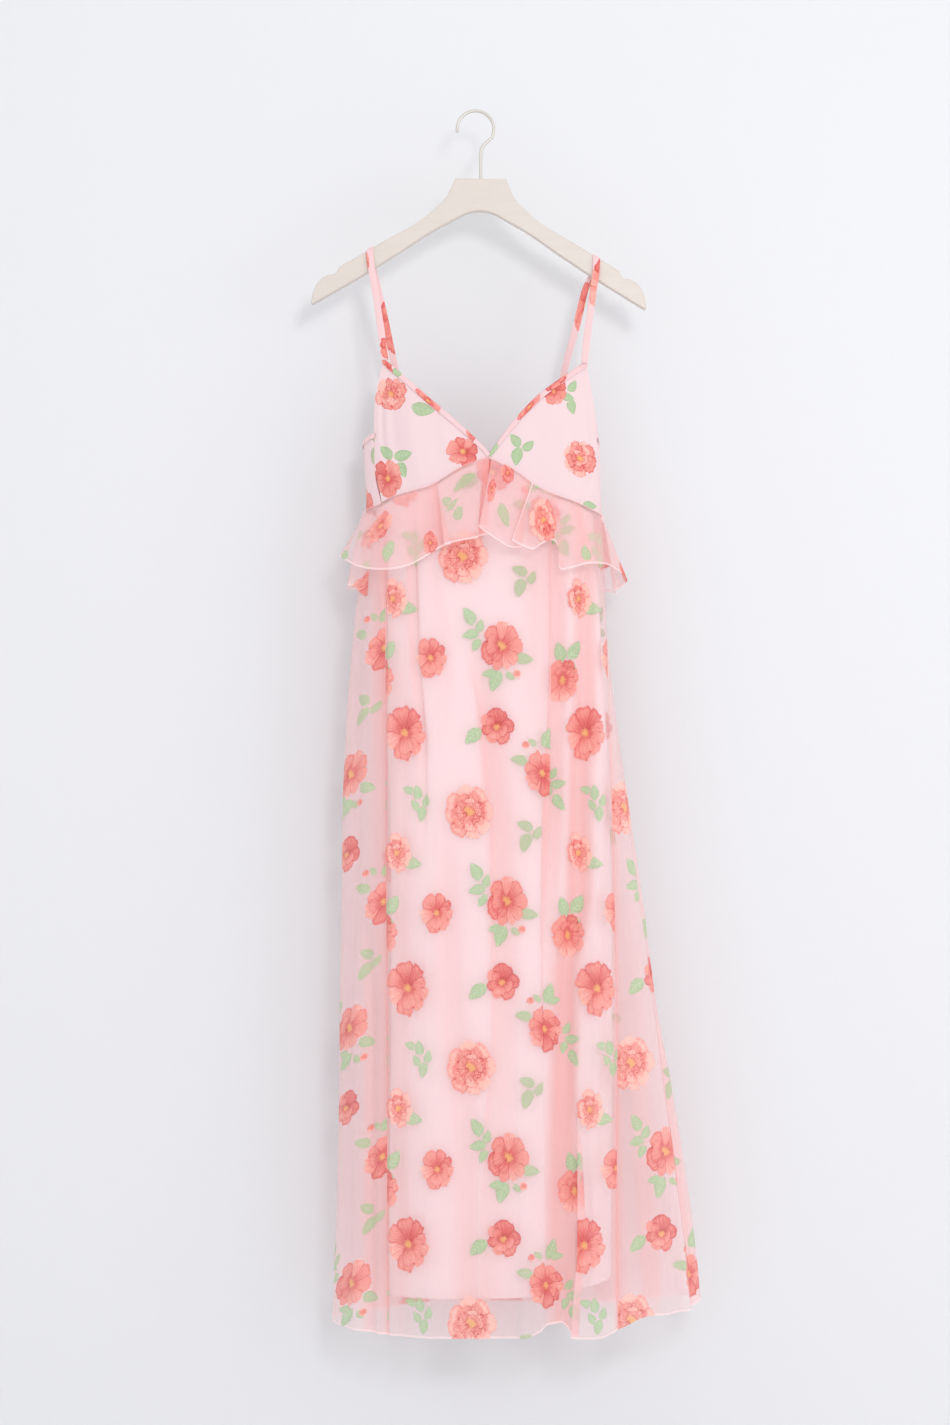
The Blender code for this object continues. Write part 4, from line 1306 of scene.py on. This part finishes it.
@dataclass
class Bodice:
    """Two cups that meet in a V, the back, and the bands that bind their edges."""

    hang: Hang
    chart: PrintChart
    neck_right: Table = ((-114.4, -314), (-53.4, -370.4), (-24.4, -395), (8, -425.5), (17.6, -437))
    neck_left: Table = ((137.6, -317.5), (110.5, -337.5), (79.4, -361), (50.4, -391.5), (24.4, -427), (17.6, -437))
    back_top: Table = ((0, -408), (0.08, -420), (0.16, -426), (0.9, -427), (0.96, -424), (1, -412))
    centre: float = 16.0

    def cup(self, neck: Table, outer: Table, side_x: float, creases: Sequence[tuple[float, float, float]]) -> Cloth:
        """One cup.

        Args:
            neck: Its neckline from the strap down to the V.
            outer: Its side edge, x by height.
            side_x: Where its bottom starts on the waist seam.
            creases: Soft gathers, as share across, width and depth.

        Returns:
            The cloth, left to right.
        """
        columns, rows = 90, 90
        line = np.array(neck, float)
        run = np.concatenate([[0], np.cumsum(np.hypot(*np.diff(line, axis=0).T))])
        sign = math.copysign(1, line[-1, 0] - line[0, 0])
        u = np.linspace(0, 1, columns)
        soft = np.linspace(0, run[-1], 60)
        curve = [np.convolve(np.pad(np.interp(soft, run, line[:, i]), 5, "edge"), np.ones(11) / 11,
                "valid") for i in (0, 1)]
        curve = [np.where((np.arange(60) < 5) | (np.arange(60) > 54), np.interp(soft, run, line[:, i]),
                curve[i]) for i in (0, 1)]
        top = np.column_stack([np.interp(u * run[-1], soft, part) for part in curve])
        low_x = side_x + (self.centre - sign * 0.6 - side_x) * u
        low = np.column_stack([low_x, rounded(self.hang.waist_front, low_x) + 0.6])
        grid = []
        for v in np.linspace(0, 1, rows):
            place = top + (low - top) * v
            place[:, 0] += (smooth(outer, place[:, 1]) - place[:, 0]) * (1 - u) ** 3 * math.sin(math.pi * v) ** 0.5
            place[:, 0] -= sign * 2.6 * (1 - u) ** 3
            crease = sum(deep * np.exp(-(((u - at - 0.10 * v) / wide) ** 2)) for at, wide, deep in creases)
            bulge = 1.5 * np.sin(math.pi * u) * math.sin(math.pi * v)
            x, y = self.hang.skin(place[:, 0], place[:, 1], -1)
            grid.append(np.column_stack([x, y - bulge + crease * math.sin(math.pi * v) ** 0.6, place[:, 1]]))
        points = np.array(grid)
        points = points if sign > 0 else points[:, ::-1]
        return Cloth(points, points[..., 0] + 200.0, -points[..., 2], (False, False, False, False))

    def back(self) -> Cloth:
        """The back of the bodice, from one cup round to the other."""
        plan = Plan(self.hang, False, (), (), 120, trim=0.8)
        share = np.linspace(0, 1, plan.columns)
        high = rounded([(1 - place, value) for place, value in self.back_top], share, 0.02)
        waist = lambda x, side: plan.waist(x, side) + 1.6
        cloth = plan.cloth(40, lambda x, side: high, waist, (False, False, False, False))
        gather = 0.8 * np.sin(np.linspace(0, 46 * math.pi, plan.columns)) * np.linspace(1, 0.2, 40)[:, None]
        cloth.points[..., 1] -= gather * np.sign(cloth.points[..., 1])
        return cloth

    def band(self, cloth: Cloth, width: float, lift: float) -> Cloth:
        """A bias band folded over the top edge of a panel.

        Args:
            cloth: The panel.
            width: The band's width.
            lift: How far it stands off the panel.

        Returns:
            The band.
        """
        top, below = cloth.points[0], cloth.points[4]
        down = below - top
        down /= np.linalg.norm(down, axis=1)[:, None]
        along = np.gradient(top, axis=0)
        out = np.cross(down, along)
        out /= np.linalg.norm(out, axis=1)[:, None]
        grid = []
        for s in np.linspace(-1, 1, 25):
            away = (0.7 + lift * math.sqrt(max(0.0, 1 - (2 * abs(s) - 1) ** 4))) * math.tanh(-9 * s)
            grid.append(top + down * (width * abs(s) - 1.1 * math.exp(-((s * 9) ** 2))) + out * away)
        return Cloth(np.array(grid), finished=(False, False, True, True))

    def build(self, finish: Finish) -> None:
        """Makes the cups, the back and the bands."""
        right = self.cup(self.neck_right, self.hang.seam_left, -115.2,
                ((0.09, 0.03, 2.2), (0.20, 0.045, 2.0), (0.33, 0.05, -1.2), (0.5, 0.06, 1.4), (0.72, 0.05, 1.2)))
        left = self.cup(self.neck_left, self.hang.seam_right, 157.4,
                ((0.08, 0.03, 2.2), (0.19, 0.04, 2.0), (0.33, 0.05, -1.2), (0.52, 0.06, 1.2), (0.74, 0.05, 1.0)))
        back = self.back()
        on_right = [
            peony(93, 360, 21, 23, 7), leaf(134, 380, 15, 12, 0.5), rose(184, 434, 22, 20, 6),
            leaf(109, 438, 12, 350, 0.2),
            leaf(88, 434, 11, 230, 0.2), leaf(108, 456, 11, 70, 0.3), rose(90, 467, 21, 26, 6),
        ]
        on_left = [
            rose(298, 356, 17, 21, 6, 40), leaf(322, 350, 9, 300, 0.1), leaf(316, 364, 9, 20, 0.1),
            leaf(321, 376, 10, 80, 0.1),
            leaf(250, 420, 10, 235, 0.1), leaf(266, 427, 9.5, 320, 0.1), leaf(252, 440, 12, 100, 0.1),
            peony(331, 441, 24, 25, 7), leaf(344, 500, 9, 10, 0.1),
        ]
        pieces = (
            ("cup_right_cloth", right, on_right, "bodice_front_right", (0.15, 0.19), 0.0151),
            ("cup_left_cloth", left, on_left, "bodice_front_left", (0.155, 0.20), 0.0173),
            ("bodice_back_cloth", back, self.around(back), "bodice_back", (0.375, 0.097), 0.0331),
        )
        for name, cloth, motifs, node, flat, area in pieces:
            made = add_piece(name, cloth.mesh(name, motifs), finish.lined, "chiffon", node)
            LOG.info("%s: %.4f m2", name, cloth.area_m2())
        bands = (
            ("neck_band_right", right, 6.0, "neck_binding_right",
            [rose(8, 0, 12, 14), leaf(26, 4, 8, 20), rose(80, 3, 24, 9, 6), rose(150, 8, 9, 9)]),
            ("neck_band_left", left, 6.0, "neck_binding_left",
            [leaf(8, 4, 11, 160, 0.1), rose(80, 4, 24, 9, 6), rose(128, 10, 20, 14, 6)]),
            ("back_band", back, 6.0, "back_binding", self.around(back)),
        )
        for name, cloth, width, node, motifs in bands:
            band = self.band(cloth, width, 0.9)
            made = add_piece(name, band.mesh(name, motifs), finish.rolled, "chiffon", node)
            LOG.info("%s: %.4f m2, %.0f mm long", name, band.area_m2(), band.across[0, -1])

    def around(self, cloth: Cloth) -> list[Motif]:
        """The print on the back of the bodice."""
        return cloth.charted(self.chart, cloth.across + 40.0, cloth.down + 20.0)


@dataclass
class Ruffles:
    """The ruffle along the waist seam: two pieces in front and one behind."""

    hang: Hang
    chart: PrintChart
    right_hand: tuple[tuple[float, float, float, float, float], ...] = (
        (-138.6, -165, 6, -563, 0.5), (-133, -171.5, -12, -563, 0.2), (-126, -163, -30, -569.5, 0.1),
        (-117, -149, -46, -577.5, 0),
        (-106, -128, -57, -582.5, 0), (-93, -103, -62, -582.5, 0.1), (-80, -82.5, -61, -577.5, 0.2),
        (-69, -66, -56, -569, 0.5),
        (-60, -51, -51, -559, 0.7), (-54, -37, -49, -552, 1.3), (-50, -30, -57, -551, 1.4),
        (-48, -38.5, -70, -553, 0.5),
        (-44, -36, -77, -552.5, 0), (-30, -22, -78, -549, 0.1), (-10, -8, -79, -546.5, 0.2), (6, 3, -77, -544.5, 0.2),
        (11, 2.5, -68, -543, 1.5), (14, 6, -58, -541, 1.6), (17, 14, -55, -539, 1.4),
    )
    left_hand: tuple[tuple[float, float, float, float, float], ...] = (
        (19, 16, -60, -532, 1.2), (20.5, 4.5, -74, -530, 0.4), (25, 9, -80, -535, 0.1), (33, 20, -82, -543, 0.1),
        (43, 31, -80, -550, 0.1), (52, 42, -76, -556, 0.1), (60, 55, -68, -556, 0.9), (67, 58, -62, -552, 1.3),
        (69.5, 48, -70, -549, 0.8), (71.5, 45, -79, -547.5, 0), (76, 54, -83, -553, 0), (83, 70.6, -80, -559, 0.1),
        (88, 80, -72, -553, 0.5), (93, 95, -65, -546.3, 0.4), (98, 103, -60, -555, 1.0), (102, 105, -57, -581, 0.5),
        (110, 118, -58, -581, 0), (120, 133, -57, -577, 0.7), (127, 142, -53, -575, 1.0), (134, 151, -51, -574.8, 0.1),
        (144, 166, -41, -576, 0), (151, 180, -27, -583, 0.1), (155.5, 192, -11, -593, 0.3),
        (158, 185, 5, -601, 0.7), (159, 176, 12, -606, 0.9),
    )
    turned_hem: float = 71.5
    depth_behind: float = 94.0
    flare_behind: float = 21.0

    def front(self, table: Sequence[tuple[float, ...]], columns: int = 240, rows: int = 46) -> Cloth:
        """A front ruffle between the waist seam and its listed hem.

        Args:
            table: The seam's x, the hem's x, y and z, and how deep in a fold it is, which sets the painted fold shade,
                from left to right.
            columns: How many points across.
            rows: How many points down.

        Returns:
            The cloth.
        """
        cells = np.arange(len(table), dtype=float)
        fine = np.linspace(0, len(table) - 1, 1500)
        parts = [smooth(list(zip(cells, [row[i] for row in table])), fine) for i in range(5)]
        hem = np.column_stack(parts[1:4])
        along = np.concatenate([[0], np.cumsum(np.linalg.norm(np.diff(hem, axis=0), axis=1))])
        at = np.interp(np.linspace(0, along[-1], columns), along, fine)
        seam_x, hem_x, hem_y, hem_z, painted_fold_shade = (np.interp(at, fine, part) for part in parts)
        seam_x = np.maximum.accumulate(seam_x)
        seam_z = rounded(self.hang.waist_front, seam_x) + 1.6
        start_x, start_y = self.hang.skin(seam_x, seam_z, -1, 3.0)
        pucker = np.sin(np.linspace(0, columns * 0.55, columns)) * 0.2
        grid = []
        for v in np.linspace(0, 1, rows):
            out = v**0.82
            fade = math.exp(-v * 9)
            x = start_x + (hem_x - start_x) * v
            y = start_y + (hem_y - start_y) * out - pucker * fade
            z = seam_z + (hem_z - seam_z) * v
            grid.append(np.column_stack([x, y, z]))
        points = np.array(grid)
        depth = np.linspace(0, 1, rows)[:, None]
        # Painted shade under the pleats, growing with each point's fold depth and towards the hem, plus denser cloth
        # where it gathers into the waist seam.
        fold = painted_fold_shade * (0.45 + 0.55 * depth**0.5) * 0.75 + 0.08 + 0.35 * np.exp(-depth / 0.15)
        cut = np.concatenate([[0], np.cumsum(np.linalg.norm(np.diff(points[-1], axis=0), axis=1))])
        down = np.concatenate([np.zeros((1, columns)),
                np.cumsum(np.linalg.norm(np.diff(points, axis=0), axis=2), axis=0)])
        cloth = Cloth(points, np.tile(cut, (rows, 1)), down, (False, False, False, True), fold)
        if seam_x[0] < self.turned_hem < seam_x[-1]:
            cloth.creased = float(np.interp(self.turned_hem, seam_x, cut))
        return cloth

    def back(self, columns: int = 260, rows: int = 36) -> Cloth:
        """The ruffle behind, from one side round to the other."""
        grid = []
        u = np.linspace(0, 1, columns)
        angle = math.radians(6) + math.radians(202) * u
        reach = np.cos(angle)
        left, right = -139.0, 159.0
        x = (left + right) / 2 + (right - left) / 2 * np.sign(reach) * np.abs(reach) ** 0.7
        side = np.where(angle <= math.pi, 1, -1)
        wave = np.sin(2 * math.pi * 5 * u) + 0.5 * np.sin(2 * math.pi * 8.5 * u + 1.0)
        aside, behind = reach * 0.9, side * np.sqrt(1 - (reach * 0.9) ** 2)
        calm = np.clip((1 - u) / 0.12, 0.25, 1)
        for v in np.linspace(0, 1, rows):
            z = rounded(self.hang.waist_back, x) + 1.2
            y = np.where(side > 0, self.hang.skin(x, z, 1)[1], self.hang.skin(x, z, -1)[1])
            out = (3.0 + (self.flare_behind - 3.0) * v**0.82) * (0.45 + 0.55 * calm) + 5.0 * v * wave * calm
            drop = (self.depth_behind + 11 * (1 - calm)) * v + 2.0 * v * np.cos(2 * math.pi * 5 * u)
            grid.append(np.column_stack([x + aside * out, y + behind * out, z - drop]))
        return Cloth(np.array(grid), finished=(False, False, False, True))

    def build(self, finish: Finish) -> None:
        right, left, back = self.front(self.right_hand), self.front(self.left_hand), self.back()
        on_right = right.pinned([
            rose(-119, 528, 22, 22, 7), leaf(-109, 560, 14, 100, 0.4), leaf(-36, 497, 9, 240, 0.7),
            leaf(-29, 503, 8, 330, 0.7),
            leaf(-22, 514, 10, 80, 0.7), rose(-56, 549, 12, 16, 6), leaf(-165, 563, 10, 30, 0.3),
            leaf(-14, 473, 12, 150, 0.9),
        ])
        on_left = left.pinned([
            rose(20, 484, 8, 18, 6), leaf(36, 517, 15, 60, 0.8), peony(84, 522, 30, 33, 7), leaf(78, 477, 8, 340, 0.1),
            rose(40, 462, 12, 16, 5), leaf(137, 561, 11, 280, 0.1), rose(190, 586, 14, 18, 6),
        ])
        behind = back.charted(self.chart, back.across - 18.0, back.down - 30.0)
        for name, cloth, motifs, node, flat, area in (
            ("ruffle_right_cloth", right, on_right, "ruffle_front_right", (0.29, 0.106), 0.0202),
            ("ruffle_left_cloth", left, on_left, "ruffle_front_left", (0.36, 0.104), 0.0203),
            ("ruffle_back_cloth", back, behind, "ruffle_back", (0.46, 0.105), 0.0387),
        ):
            made = add_piece(name, cloth.mesh(name, motifs), finish.sheer, "chiffon", node)
            LOG.info("%s: seam %.0f, hem %.0f mm, %.4f m2", name, cloth.across[0, -1], cloth.across[-1, -1],
                    cloth.area_m2())


@dataclass
class Hanger:
    """The wooden hanger with its notches and grip teeth, and the wire hook."""

    centre_x: float = 6.6
    top_z: float = -85.1
    tilt: float = math.radians(0.9)
    thickness: float = 13.0
    rounding: float = 1.6
    upper: Table = ((32.3, 0), (36.5, -10), (41.9, -21.8), (48, -30.2), (56.7, -37.8), (66, -46.5),
            (77.4, -55.5), (90, -63.4), (104, -71))
    teeth_from: tuple[float, float] = (110.0, -74.6)
    teeth_to: tuple[float, float] = (178.2, -115.2)
    teeth: int = 17
    notch: Table = ((179.6, -119.6), (183.6, -123.9), (188.2, -124.0), (190.4, -124.2))
    tip: Table = ((194.5, -126), (199, -128.8), (204.6, -134.6), (208.4, -142), (210.6, -150), (212.3, -160.4))
    lower: Table = (
        (210.8, -161.8), (209.4, -161.6), (178, -143), (146.4, -124), (100, -94.2), (71, -74.2), (54, -63.6),
        (38, -55.2),
        (28, -49.4), (20.3, -45.2), (13, -42.6), (6, -41.2),
    )
    wire: float = 2.0
    ring: float = 23.2
    ring_start: float = math.radians(-36)
    ring_end: float = math.radians(183)

    def toothed(self) -> list[tuple[float, float]]:
        """The grip teeth along the shoulder."""
        start, end = np.array(self.teeth_from), np.array(self.teeth_to)
        along = (end - start) / self.teeth
        out = np.array([-along[1], along[0]]) / np.linalg.norm(along)
        points = []
        for i in range(self.teeth):
            foot = start + along * i
            points += [tuple(foot + out * 0.1), tuple(foot + along * 0.62 + out * 0.9),
                    tuple(foot + along * 0.8 - out * 0.1)]
        return points

    def body(self, finish: Finish) -> None:
        """Makes the wooden body from its outline.

        Args:
            finish: The materials.
        """
        half = [*self.upper, *self.toothed(), *self.notch, *self.tip, *self.lower]
        outline = half + [(0, -40.9)] + [(-x, z) for x, z in reversed(half)]
        curve = bpy.data.curves.new("hanger_outline", "CURVE")
        curve.dimensions, curve.fill_mode = "2D", "BOTH"
        curve.extrude = (self.thickness / 2 - self.rounding) * MM
        curve.bevel_depth, curve.bevel_resolution = self.rounding * MM, 3
        curve.offset = -self.rounding * MM
        spline = curve.splines.new("POLY")
        spline.points.add(len(outline) - 1)
        for point, (x, z) in zip(spline.points, outline):
            point.co = (x * MM, z * MM, 0, 1)
        spline.use_cyclic_u = True
        add_piece("hanger_wood", self.solid(curve, "hanger_wood", math.pi / 2, self.tilt), finish.wood,
                "hanger_wood", "hanger_body")

    def solid(self, curve: bpy.types.Curve, name: str, about_x: float, about_y: float) -> bpy.types.Mesh:
        """A curve turned into a mesh that stands in place.

        Args:
            curve: The curve.
            name: The mesh's name.
            about_x: How far it is turned about X.
            about_y: How far it is then turned about Y.

        Returns:
            The mesh.
        """
        holder = bpy.data.objects.new("outline", curve)
        bpy.context.scene.collection.objects.link(holder)
        holder.rotation_euler = (about_x, about_y, 0)
        if about_x:
            holder.location = (self.centre_x * MM, 0, self.top_z * MM)
        bpy.context.view_layer.update()
        mesh = bpy.data.meshes.new_from_object(holder.evaluated_get(bpy.context.evaluated_depsgraph_get()))
        mesh.name = name
        mesh.transform(holder.matrix_world)
        bpy.data.objects.remove(holder)
        return mesh

    def hook(self, finish: Finish) -> None:
        """Makes the wire hook and the cap on its end.

        Args:
            finish: The materials.
        """
        centre_z = self.wire - self.ring
        line = [(6.6, z) for z in (-84.6, -74, -64, -56, -51.5)] + [(7.1, -48.0), (8.4, -44.6), (10.3, -41.8),
                (13.4, -38.6)]
        for angle in np.linspace(self.ring_start + 0.12, self.ring_end, 44):
            line.append((self.ring * math.cos(angle), centre_z + self.ring * math.sin(angle)))
        wire = self.tube([(x, 0.0, z) for x, z in line], self.wire, "hook_wire")
        add_piece("hook_wire", wire, finish.wire, "hook_wire", "hanger_hook")
        end = line[-1]
        cap = self.tube([(end[0] + 0.1, 0.0, end[1] + 1.2), (end[0], 0.0, end[1] - 1.0),
                (end[0] + 0.1, 0.0, end[1] - 2.6)], self.wire + 0.25, "hook_cap")
        add_piece("hook_cap", cap, finish.cap, "hook_wire")

    def tube(self, line: Sequence[tuple[float, float, float]], radius: float, name: str) -> bpy.types.Mesh:
        """A round wire through some points.

        Args:
            line: The points.
            radius: The wire's radius.
            name: The mesh's name.

        Returns:
            The mesh.
        """
        curve = bpy.data.curves.new(name, "CURVE")
        curve.dimensions = "3D"
        curve.bevel_depth, curve.bevel_resolution, curve.use_fill_caps = radius * MM, 5, True
        spline = curve.splines.new("POLY")
        spline.points.add(len(line) - 1)
        for point, place in zip(spline.points, line):
            point.co = (*(value * MM for value in place), 1)
        spline.use_smooth = True
        return self.solid(curve, name, 0.0, 0.0)

    def top_at(self, x: float) -> float:
        """Height of the shoulder's upper edge at x."""
        edge = [*self.upper, self.teeth_from, self.teeth_to, *self.notch, *self.tip]
        below = -90.0
        for _ in range(3):
            local = x - self.centre_x - below * math.sin(self.tilt)
            below = float(straight(edge, abs(local)))
        return self.top_z + below - local * math.sin(self.tilt)

    def build(self, finish: Finish) -> None:
        """Makes the body and the hook."""
        self.body(finish)
        self.hook(finish)


@dataclass
class Strap:
    """A narrow flat tube of chiffon over the hanger's shoulder."""

    name: str
    node: str
    front: tuple[tuple[float, float, float], ...]
    cross_x: float
    back: tuple[tuple[float, float, float], ...]
    motifs: tuple[Motif, ...]
    width: float = 8.8
    wall: float = 2.0

    def path(self, hanger: Hanger) -> tuple[np.ndarray, np.ndarray]:
        """The strap's middle line and the lean of its width.

        Args:
            hanger: The hanger that it crosses.

        Returns:
            The points, and how far the width rises for each step across.
        """
        slope = (hanger.top_at(self.cross_x + 4) - hanger.top_at(self.cross_x - 4)) / 8
        over = hanger.thickness / 2 + self.wall / 2 + 0.5
        top = hanger.top_at(self.cross_x) + self.wall / 2 + 0.9
        crest = [(self.cross_x, over * math.sin(a) * -1,
                top - 4.2 + 4.2 * math.cos(a) ** 0.8) for a in np.radians([85, 60, 35, 12])]
        crest += [(x, -y, z) for x, y, z in reversed(crest)]
        level = [(self.cross_x, -over, top - 9)] + crest + [(self.cross_x, over, top - 9)]
        points = np.array([*self.front, *level, *self.back], float)
        lean = np.array([0.0] * len(self.front) + [slope] * len(level) + [0.0] * len(self.back))
        return points, lean

    def cloth(self, hanger: Hanger, around: int = 20, steps: int = 240) -> Cloth:
        """The strap as a closed flat tube.

        Args:
            hanger: The hanger that it crosses.
            around: How many points round it.
            steps: How many points along it.

        Returns:
            The cloth, its rows along the strap.
        """
        points, lean = self.path(hanger)
        along = np.concatenate([[0], np.cumsum(np.linalg.norm(np.diff(points, axis=0), axis=1))])
        at = np.linspace(0, along[-1], steps)
        centre = np.column_stack([smooth(list(zip(along, points[:, i])), at) for i in range(3)])
        lean = np.interp(at, along, lean)
        run = np.gradient(centre, axis=0)
        run /= np.linalg.norm(run, axis=1)[:, None]
        across = np.column_stack([np.ones(steps), np.zeros(steps), lean])
        across -= run * (across * run).sum(axis=1)[:, None]
        across /= np.linalg.norm(across, axis=1)[:, None]
        out = np.cross(run, across)
        turn = np.linspace(0, 2 * math.pi, around + 1)
        grid = []
        for i in range(steps):
            swell = 1 + 0.05 * math.sin(at[i] / 17.0)
            ring = [centre[i] + across[i] * self.width / 2 * swell * math.copysign(abs(math.cos(a)) ** 0.7, math.cos(a))
                    + out[i] * self.wall / 2 * math.sin(a) for a in turn]
            grid.append(ring)
        grid = np.array(grid)
        flat_x = np.tile(self.width / 2 * (1 + np.cos(turn)), (steps, 1))
        return Cloth(grid, flat_x, np.tile(at[:, None], (1, around + 1)), (False, False, False, False))

    def build(self, hanger: Hanger, finish: Finish) -> None:
        cloth = self.cloth(hanger)
        made = add_piece(self.name, cloth.mesh(self.name, self.motifs), finish.rolled, "chiffon", self.node)
        length = float(cloth.down[-1, 0]) * MM
        LOG.info("%s: %.0f mm long, %.4f m2", self.name, length / MM, cloth.area_m2())


def straps() -> tuple[Strap, Strap]:
    """The two straps, the wearer's right one first."""
    right = Strap(
        "strap_right_cloth", "strap_right",
        ((-114.0, -21.5, -316.5), (-119, -16.8, -280), (-127, -12.6, -225), (-132.4, -9.4, -193)), -133.7,
        ((-130.5, 9.6, -195), (-117.5, 15, -251), (-105, 24, -309), (-92, 33.6, -370), (-81.5, 39.2, -424)),
        (rose(16, 14, 15, 24), rose(0, 130, 4, 12), rose(20, 256, 32, 40), leaf(4, 330, 9, 70)),
    )
    left = Strap(
        "strap_left_cloth", "strap_left",
        ((137.2, -22.0, -320.4), (141, -17.4, -285), (149, -12.6, -226), (152.4, -9.4, -201)), 152.9,
        ((149, 9.6, -203), (140, 13, -222), (134, 17, -246), (126, 21, -278), (119.6, 25, -300),
        (113, 30, -327), (95.6, 39.2, -424.6)),
        (rose(27, 104, 36, 44), rose(10, 212, 16, 38), leaf(5, 330, 8, 80)),
    )
    return right, left


@dataclass
class Studio:
    """A pale wall and floor, soft lights and the camera."""

    eye_m: tuple[float, float, float] = (-0.0006, -3.245, -0.7606)
    lens: float = 64.67
    wall_y: float = 0.105
    floor_z: float = -1.86
    key_watts: float = 17.0
    side_watts: float = 8.0
    sky: float = 0.945

    def plane(self, name: str, size: float, place: tuple[float, float, float], turn_x: float,
            paint: StudioPaint) -> None:
        """A plain square that isn't part of the object.

        Args:
            name: Its name.
            size: Its side in metres.
            place: Its middle.
            turn_x: How far it is turned about X.
            paint: Its finish.
        """
        mesh = bpy.data.meshes.new(name)
        half = size / 2
        mesh.from_pydata([(-half, -half, 0), (half, -half, 0), (half, half, 0), (-half, half, 0)], [], [(0, 1, 2, 3)])
        mesh.materials.append(paint.build())
        made = bpy.data.objects.new(name, mesh)
        made.location, made.rotation_euler = place, (turn_x, 0, 0)
        bpy.context.scene.collection.objects.link(made)

    def light(self, name: str, place: tuple[float, float, float], aim: tuple[float, float, float], size: float,
            watts: float) -> None:
        """A square soft light.

        Args:
            name: Its name.
            place: Where it stands, in metres.
            aim: What it points at.
            size: Its side in metres.
            watts: Its power.
        """
        data = bpy.data.lights.new(name, "AREA")
        data.shape, data.size, data.energy = "SQUARE", size, watts
        made = bpy.data.objects.new(name, data)
        made.location = place
        made.rotation_euler = (Vector(aim) - Vector(place)).to_track_quat("-Z", "Y").to_euler()
        bpy.context.scene.collection.objects.link(made)

    def build(self) -> None:
        """Sets up the wall, floor, lights, sky and camera."""
        self.plane("studio_wall", 9.0, (0, self.wall_y, self.floor_z + 4.5), math.pi / 2,
                StudioPaint("wall_paint", see_through_behind=True))
        self.plane("studio_floor", 14.0, (0, 0, self.floor_z), 0, StudioPaint("floor_paint"))
        self.light("key_light", (0.55, -3.0, 0.15), (0.02, 0, -0.75), 0.45, self.key_watts)
        self.light("side_light", (2.4, -1.9, -0.5), (0, 0, -0.8), 1.6, self.side_watts)
        world = bpy.data.worlds.new("soft_sky")
        world.use_nodes = True
        world.node_tree.nodes["Background"].inputs["Color"].default_value = (0.96, 0.97, 1.0, 1)
        world.node_tree.nodes["Background"].inputs["Strength"].default_value = self.sky
        bpy.context.scene.world = world
        camera = bpy.data.cameras.new("camera")
        camera.sensor_width, camera.lens = 36.0, self.lens
        camera.clip_end = 50.0
        made = bpy.data.objects.new("camera", camera)
        made.location, made.rotation_euler = self.eye_m, (math.pi / 2, 0, 0)
        bpy.context.scene.collection.objects.link(made)
        bpy.context.scene.camera = made
        bpy.context.scene.view_settings.view_transform = "Standard"


def main() -> None:
    """Builds the dress, the hanger and the studio."""
    logging.basicConfig(level=logging.INFO, format="%(message)s")
    finish, hang, chart = Finish.make(), Hang(), PrintChart()
    hanger = Hanger()
    hanger.build(finish)
    for strap in straps():
        strap.build(hanger, finish)
    Bodice(hang, chart).build(finish)
    Skirt(hang, chart).build(finish)
    Slip(hang, over=Skirt.folds_front).build(finish)
    Ruffles(hang, chart).build(finish)
    Studio().build()


if __name__ == "__main__":
    main()
